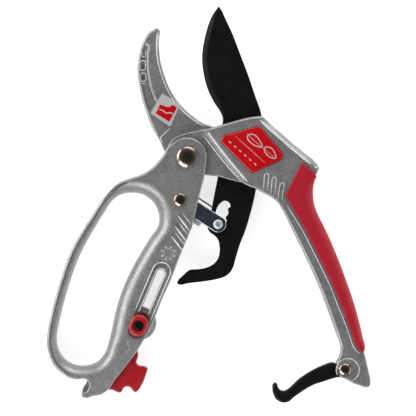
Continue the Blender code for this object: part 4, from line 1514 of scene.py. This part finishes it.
@dataclass
class Blade:
    """The coated bypass blade with its tail and stepped window.

    Attributes:
        bevel: The width of the ground bevel in mm.
        drop: How far the bevel falls.
        edge: The break of the other edges.
        per: How many points each span of its outline gets.
    """

    bevel: float = 2.4
    drop: float = 2.2
    edge: float = 0.25
    per: int = 6

    def build(self) -> bpy.types.Object:
        """Make the blade and cut its window and pin hole.

        Returns:
            The piece.
        """
        outline = spline(BLADE_EDGE + BLADE_REST, self.per)
        sharp = self.per * (len(BLADE_EDGE) - 2)
        inset, side = [], []
        for i in range(len(outline)):
            wide = 0.0
            if 0 < i <= sharp:
                wide = min(1.0, i / (2 * self.per), (sharp - i) / (2 * self.per))
            tip = 0.35 if i == 0 else 0.0
            inset.append(-self.edge - self.bevel * wide - tip)
            side.append(BLADE_Z[1] - self.edge - self.drop * wide)
        rings: list[Ring] = [
            [(*p, BLADE_Z[0]) for p in grown(outline, -0.15)],
            [(*p, BLADE_Z[0] + 0.15) for p in outline],
        ]
        for t in (0.0, 0.5, 0.9, 1.0):
            lift = t if t < 0.9 else 1.0 - (1.0 - t) * 0.5
            ring = grown(outline, [v * t for v in inset])
            rings.append([(*p, s + (BLADE_Z[1] - s) * lift) for p, s in zip(ring, side)])
        body = loft("blade_body", rings, COATING)
        shape(body, (), [
            prism("window", spline(WINDOW, self.per), (6.0, 13.0)),
            hole(BLADE_PIN, SHANK_R + RUNNING_GAP, (6.0, 13.0))])
        paint(body, GROUND, 0.15, 0.97, ((5.0, 20.0), (21.0, 84.0)))
        return dress(body, "blade", ["blade"], 20.0)


# ---- the ratchet link -------------------------------------------------------
LINK_PIN = (17.0, -36.9)


@dataclass
class RatchetLink:
    """The polished front strap and its cross-recessed screw.

    Attributes:
        half_width: Half the strap's width in mm.
        z: The front strap's lowest and highest z.
        screw_radius: The screw head's radius.
    """

    half_width: float = 4.5
    z: Point = (11.5, 13.6)
    screw_radius: float = 2.6

    def strap(self) -> bpy.types.Object:
        """Make the front strap with a raised bright rim.

        Returns:
            The piece.
        """
        outline = capsule(LINK, LINK_PIN, self.half_width, 21)
        body = prism("front_strap", outline, self.z, STEEL, 0.25, 0.55, 5)
        field_line = capsule(LINK, LINK_PIN, self.half_width - 1.5, 17)
        shape(body, (), [
            prism("strap_field", field_line, (self.z[1] - 0.25, 16.0)),
            hole(LINK, SMALL_SHANK_R + RUNNING_GAP),
            hole(LINK_PIN, 1.5, count=32)])
        tab = rounded([(3.2, -32.6), (3.6, -36.6), (6.4, -38.2), (9.6, -34.6)], 0.5, 5)
        merged(body, [prism("tab", tab, (11.7, 13.1), ZINC, 0.1, 0.3)])
        return dress(body, "link", ["link_front"])

    def screw(self) -> bpy.types.Object:
        """Make the screw head over the link's pin.

        Returns:
            The piece.
        """
        r = self.screw_radius
        profile = [(0.0, 13.8), (r - 0.15, 13.8), (r, 13.95), (r, 14.45),
                   (r - 0.12, 14.72), (r - 0.45, 14.95), (r - 1.1, 15.08),
                   (0.3, 15.1), (0.0, 15.1)]
        body = lathe("cross_screw", profile, LINK_PIN, ZINC, 48)
        cuts = []
        for degrees in (20.0, 110.0):
            corners = [(-1.45, -0.3), (1.45, -0.3), (1.45, 0.3), (-1.45, 0.3)]
            moved = [(LINK_PIN[0] + x, LINK_PIN[1] + y) for x, y in corners]
            cuts.append(prism("cross", [turned(p, LINK_PIN, degrees) for p in moved],
                              (14.3, 16.0)))
        shape(body, (), cuts)
        return dress(body, "link", ["link_screw"])


# ---- the drive switch -------------------------------------------------------
@dataclass
class DriveSwitch:
    """Base in the recess, knob, screw and the round plate behind the cheek.

    Attributes:
        base_radius: Half the base's width in mm.
        knob_radius: Half the knob's width.
        plate_radius: The plate's radius.
    """

    base_radius: float = 4.2
    knob_radius: float = 5.0
    plate_radius: float = 9.4

    def base(self) -> bpy.types.Object:
        """Make the base, darker red as painted shade in the recess, with its tongue
        through the slot.

        Returns:
            The piece.
        """
        low, up = along(SCREW, -2.6), along(SCREW, 4.0)
        # The base and its lip are coloured darker red as painted shade in the recess.
        body = prism("switch_base", capsule(low, up, self.base_radius), (16.1, 17.2),
                     RED_PAINTED_SHADE, 0.1, 0.4, 4)
        tongue = prism("tongue", capsule(low, along(SCREW, 2.6), 1.85), (11.2, 16.6),
                       RED_PAINTED_SHADE)
        shape(body, [tongue], [hole(SCREW, 1.3, count=24)])
        lip = capsule(low, up, self.base_radius - 0.9, 15)
        merged(body, [rail("base_lip", lip, 17.2, 0.5, 0.15, RED_PAINTED_SHADE, True)])
        return dress(body, "slider", ["slider_base"])

    def knob(self) -> bpy.types.Object:
        """Make the knob with the groove round its screw.

        Returns:
            The piece.
        """
        outline = capsule(along(SCREW, -1.1), along(SCREW, 1.3), self.knob_radius, 25)
        rings: list[Ring] = [[(*p, 17.5) for p in grown(outline, -0.3)]]
        rings.append([(*p, 17.8) for p in outline])
        rings.append([(*p, 19.1) for p in outline])
        for k in range(1, 7):
            a = math.pi / 2 * k / 6
            ring = grown(outline, -1.7 * (1 - math.cos(a)))
            rings.append([(*p, 19.1 + 1.5 * math.sin(a)) for p in ring])
        body = loft("switch_knob", rings, MOULDED_RED)
        shape(body, (), [hole(SCREW, 3.0, (19.0, 24.0), 40),
                         hole(SCREW, 1.3, (16.0, 20.0), 24)])
        return dress(body, "slider", ["slider_knob"])

    def screw(self) -> bpy.types.Object:
        """Make the black screw with its hexagon socket.

        Returns:
            The piece.
        """
        profile = [(0.0, 8.8), (1.15, 8.8), (1.15, 19.2), (2.75, 19.2), (2.75, 19.75),
                   (2.6, 20.05), (2.2, 20.3), (1.6, 20.4), (0.0, 20.4)]
        body = lathe("switch_screw", profile, SCREW, BLACK, 40)
        shape(body, (), [prism("socket", circle(SCREW, 1.15, 6), (19.5, 22.0))])
        return dress(body, "slider", ["slider_screw"])

    def plate(self) -> bpy.types.Object:
        """Make the round steel plate with its turned steps.

        Returns:
            The piece.
        """
        centre = along(SCREW, 1.4)
        body = prism("round_plate", circle(centre, self.plate_radius, 96), BLADE_Z,
                     ZINC, 0.4, 0.5, 5)
        shape(body, (), [
            hole(SCREW, 1.3, count=24),
            groove(circle(centre, self.plate_radius - 1.6, 96), BLADE_Z[1], 0.8, 0.4,
                   True)])
        return dress(body, "slider", ["slider_plate"])


# ---- the latch --------------------------------------------------------------
LATCH = [
    (79.9, -112.9), (75.1, -114.3), (70.0, -116.6), (65.2, -119.4),
    (61.6, -121.9), (58.4, -124.9), (55.6, -127.4), (53.3, -128.5),
    (51.0, -127.8), (50.0, -126.4), (49.4, -124.5), (48.2, -124.0),
    (47.1, -124.8), (46.8, -127.2), (47.3, -130.4), (48.7, -133.1),
    (51.0, -134.7), (53.8, -135.2), (56.1, -134.5), (58.8, -132.2),
    (62.0, -129.9), (66.1, -127.2), (70.3, -125.1), (75.3, -123.5),
    (79.9, -122.0), (84.5, -121.2),
]


@dataclass
class Latch:
    """The black swing latch with its hooked tip.

    Attributes:
        z: Its lowest and highest z in mm.
        edge_round: The radius of its edges.
    """

    z: Point = (6.0, 12.0)
    edge_round: float = 1.4

    def build(self) -> bpy.types.Object:
        """Make the latch and cut its pin hole.

        Returns:
            The piece.
        """
        outline = spline(LATCH + arc(LATCH_PIN, 5.0, 265, 500, 9), 5)
        body = prism("swing_latch", outline, self.z, BLACK, 0.8, self.edge_round, 6)
        shape(body, (), [hole(LATCH_PIN, 3.4)])
        return dress(body, "latch", ["latch"])


# ---- pivots and springs -----------------------------------------------------
@dataclass(frozen=True)
class Rivet:
    """A rivet with a flat back head and a domed front one.

    Attributes:
        name: The piece's name.
        node: The CAD node it stands for.
        body: The body it rides on.
        centre: Its axis in mm.
        shank: Its shank's radius.
        head: Its head's radius.
        levels: The z of its back, its head's underside and its dome's top.
    """

    name: str
    node: str
    body: str
    centre: Point
    shank: float
    head: float
    levels: Point3

    def build(self) -> bpy.types.Object:
        """Make the rivet.

        Returns:
            The piece.
        """
        back, front, top = self.levels
        rise = 0.62 * (top - front)
        dome = [(self.head * t, top - rise * t ** 2.7)
                for t in (1.0, 0.97, 0.93, 0.88, 0.82, 0.75, 0.66, 0.56, 0.45, 0.33,
                          0.2, 0.08)]
        large = self.head * 1.02
        profile = [(0.0, back), (large - 0.2, back), (large, back + 0.2),
                   (large, back + 0.9), (self.shank, back + 0.9), (self.shank, front),
                   (self.head, front), *dome, (0.0, top)]
        body = lathe(self.name, profile, self.centre, NICKEL, 64)
        return dress(body, self.body, [self.node])


@dataclass
class ReturnSpring:
    """The coil round the main pivot, with its leg reaching out towards the handle.

    Attributes:
        radius: The coil's radius in mm.
        wire: The wire's radius.
        turns: How many turns it has.
        level: The z of its first turn.
        pitch: How far it climbs down a turn.
        leg: The leg's points.
        bend: Where the leg was to start going with the handle; not used.
        per: How many points a turn gets.
    """

    radius: float = 7.2
    wire: float = 0.5
    turns: int = 3
    level: float = 8.6
    pitch: float = 1.3
    leg: tuple[Point3, ...] = ((-3.8, -8.0, 4.74), (-5.0, -9.0, 4.8),
                               (-6.8, -11.2, 4.8), (-8.6, -13.5, 4.8))
    bend: Point3 = (-5.0, -6.2, 4.8)
    per: int = 24

    def build(self) -> bpy.types.Object:
        """Wind the spring, with its coil round the main pivot and its leg reaching out.

        Returns:
            The piece.
        """
        path: Ring = []
        for k in range(self.turns * self.per + 1):
            a = math.radians(250.0) + math.tau * k / self.per
            path.append((self.radius * math.cos(a), self.radius * math.sin(a),
                         self.level - self.pitch * k / self.per))
        path += self.leg
        rings: list[Ring] = []
        for i, p in enumerate(path):
            q, r = path[max(i - 1, 0)], path[min(i + 1, len(path) - 1)]
            size = math.dist(q[:2], r[:2])
            side = (-(r[1] - q[1]) / size, (r[0] - q[0]) / size)
            rings.append([(p[0] + side[0] * self.wire * math.cos(b),
                           p[1] + side[1] * self.wire * math.cos(b),
                           p[2] + self.wire * math.sin(b))
                          for b in (math.tau * j / 10 for j in range(10))])
        coil = loft("opening_spring", rings, SPRING)
        mesh = coil.data
        mesh.polygons.foreach_set("use_smooth", [True] * len(mesh.polygons))
        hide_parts("return_spring")
        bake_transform(coil)
        LOG.info("%s: %d faces from frame to handle", coil.name, len(mesh.polygons))
        return coil


@dataclass
class Pivots:
    """All domed rivets, and the CAD pins and springs that stay in view.

    Attributes:
        kept: The CAD nodes that stay, each with its finish.
    """

    kept: dict[str, Finish] = field(default_factory=lambda: {
        "blade_pin": STEEL, "link_sleeve": STEEL, "link_rear": STEEL,
        "link_pin": STEEL, "slider_washer": STEEL, "latch_bush": STEEL,
        "link_spring": SPRING})

    def build(self) -> None:
        """Make the rivets and recoat the kept CAD pieces."""
        for rivet in (
                Rivet("dome_main", "main_rivet", "frame", MAIN, SHANK_R, 5.6,
                      (0.0, 17.1, 19.0)),
                Rivet("dome_latch", "latch_rivet", "frame", LATCH_PIN, SMALL_SHANK_R,
                      3.3, (0.3, 16.0, 17.3)),
                Rivet("dome_link", "link_rivet", "handle", LINK, SMALL_SHANK_R, 3.4,
                      (0.0, 17.1, 18.3))):
            rivet.build()
        for node, finish in self.kept.items():
            recoat(node, finish)


# ---- the studio -------------------------------------------------------------
@dataclass
class Studio:
    """A pale floor, soft lights and the camera straight above.

    Attributes:
        centre: The point under the camera in mm.
        height: The camera's height above the front faces in m.
        view: The width that the camera takes in, in m.
        glow: How strongly the floor, a light table, shines by itself.
    """

    centre: Point = (11.44, -27.94)
    height: float = 2.4
    view: float = 0.2288
    glow: float = 0.75

    def build(self) -> None:
        """Set up the whole studio."""
        self._floor()
        self._world()
        self._light("left_panel", (-0.80, 0.25, 0.44), (0.9, 0.6), 6.8)
        self._light("top_panel", (0.25, 0.85, 0.42), (1.0, 0.5), 6.0)
        self._light("right_fill", (0.85, -0.25, 0.30), (0.9, 0.5), 2.6)
        self._light("low_fill", (-0.25, -0.42, 0.42), (0.5, 0.3), 2.2)
        self._camera()

    def _floor(self) -> None:
        """Lay the floor."""
        size = 6.0
        mesh = bpy.data.meshes.new("floor")
        mesh.from_pydata([(-size, -size, -0.0002), (size, -size, -0.0002),
                          (size, size, -0.0002), (-size, size, -0.0002)], [],
                         [(0, 1, 2, 3)])
        floor = bpy.data.objects.new("floor", mesh)
        bpy.context.scene.collection.objects.link(floor)
        paper = Finish("floor_paper", (0.56, 0.56, 0.56), (0.54, 0.54, 0.54), 0.0,
                       (0.85, 0.95), Grain.MOULDED, 30.0, 0.0).material()
        shader = paper.node_tree.nodes["Principled BSDF"]
        shader.inputs["Emission Color"].default_value = (1.0, 1.0, 1.0, 1.0)
        shader.inputs["Emission Strength"].default_value = self.glow
        mesh.materials.append(paper)

    @staticmethod
    def _world() -> None:
        """Light the scene from all round, with a dark ceiling over the object."""
        world = bpy.data.worlds.new("studio")
        world.use_nodes = True
        tree = world.node_tree
        sky = tree.nodes["Background"]
        place = tree.nodes.new("ShaderNodeTexCoord")
        split = tree.nodes.new("ShaderNodeSeparateXYZ")
        tree.links.new(place.outputs["Generated"], split.inputs["Vector"])
        ramp = tree.nodes.new("ShaderNodeValToRGB")
        tree.links.new(split.outputs["Z"], ramp.inputs["Fac"])
        stops = ((0.0, 0.90), (0.45, 0.62), (0.78, 0.20), (0.95, 0.06))
        while len(ramp.color_ramp.elements) < len(stops):
            ramp.color_ramp.elements.new(0.5)
        for element, (at, level) in zip(ramp.color_ramp.elements, stops):
            element.position = at
            element.color = (level, level, level, 1.0)
        tree.links.new(ramp.outputs["Color"], sky.inputs["Color"])
        sky.inputs["Strength"].default_value = 1.0
        bpy.context.scene.world = world

    @staticmethod
    def _light(name: str, place: Point3, size: Point, power: float) -> None:
        """Hang a soft panel aimed at the object.

        Args:
            name: The panel's name.
            place: Its middle in m.
            size: Its width and height in m.
            power: Its power in watts.
        """
        lamp = bpy.data.lights.new(name, "AREA")
        lamp.shape = "RECTANGLE"
        lamp.size, lamp.size_y = size
        lamp.energy = power
        obj = bpy.data.objects.new(name, lamp)
        obj.location = place
        aim = [t - p for t, p in zip((0.01, -0.03, 0.01), place)]
        flat = math.hypot(aim[0], aim[1])
        obj.rotation_euler = (math.atan2(flat, -aim[2]), 0.0,
                              math.atan2(aim[1], aim[0]) - math.pi / 2)
        bpy.context.scene.collection.objects.link(obj)

    def _camera(self) -> None:
        """Hang the camera over the object, looking straight down."""
        lens = bpy.data.cameras.new("camera")
        lens.sensor_width = 36.0
        lens.lens = 36.0 * self.height / self.view
        lens.clip_start = 0.05
        lens.clip_end = 20.0
        obj = bpy.data.objects.new("camera", lens)
        obj.location = (self.centre[0] * MM, self.centre[1] * MM, self.height + 0.014)
        bpy.context.scene.collection.objects.link(obj)
        bpy.context.scene.camera = obj
        bpy.context.scene.view_settings.view_transform = "Standard"


def main() -> None:
    """Build every sub-assembly in order."""
    logging.basicConfig(level=logging.INFO, format="%(name)s %(message)s")
    Casting().build()
    Grip().build()
    Badge().build()
    HookSticker().build()
    handle = LoopHandle()
    handle.build()
    handle.bumper()
    Blade().build()
    link = RatchetLink()
    link.strap()
    link.screw()
    switch = DriveSwitch()
    switch.base()
    switch.knob()
    switch.screw()
    switch.plate()
    Latch().build()
    Pivots().build()
    ReturnSpring().build()
    Studio().build()


if __name__ == "__main__":
    main()
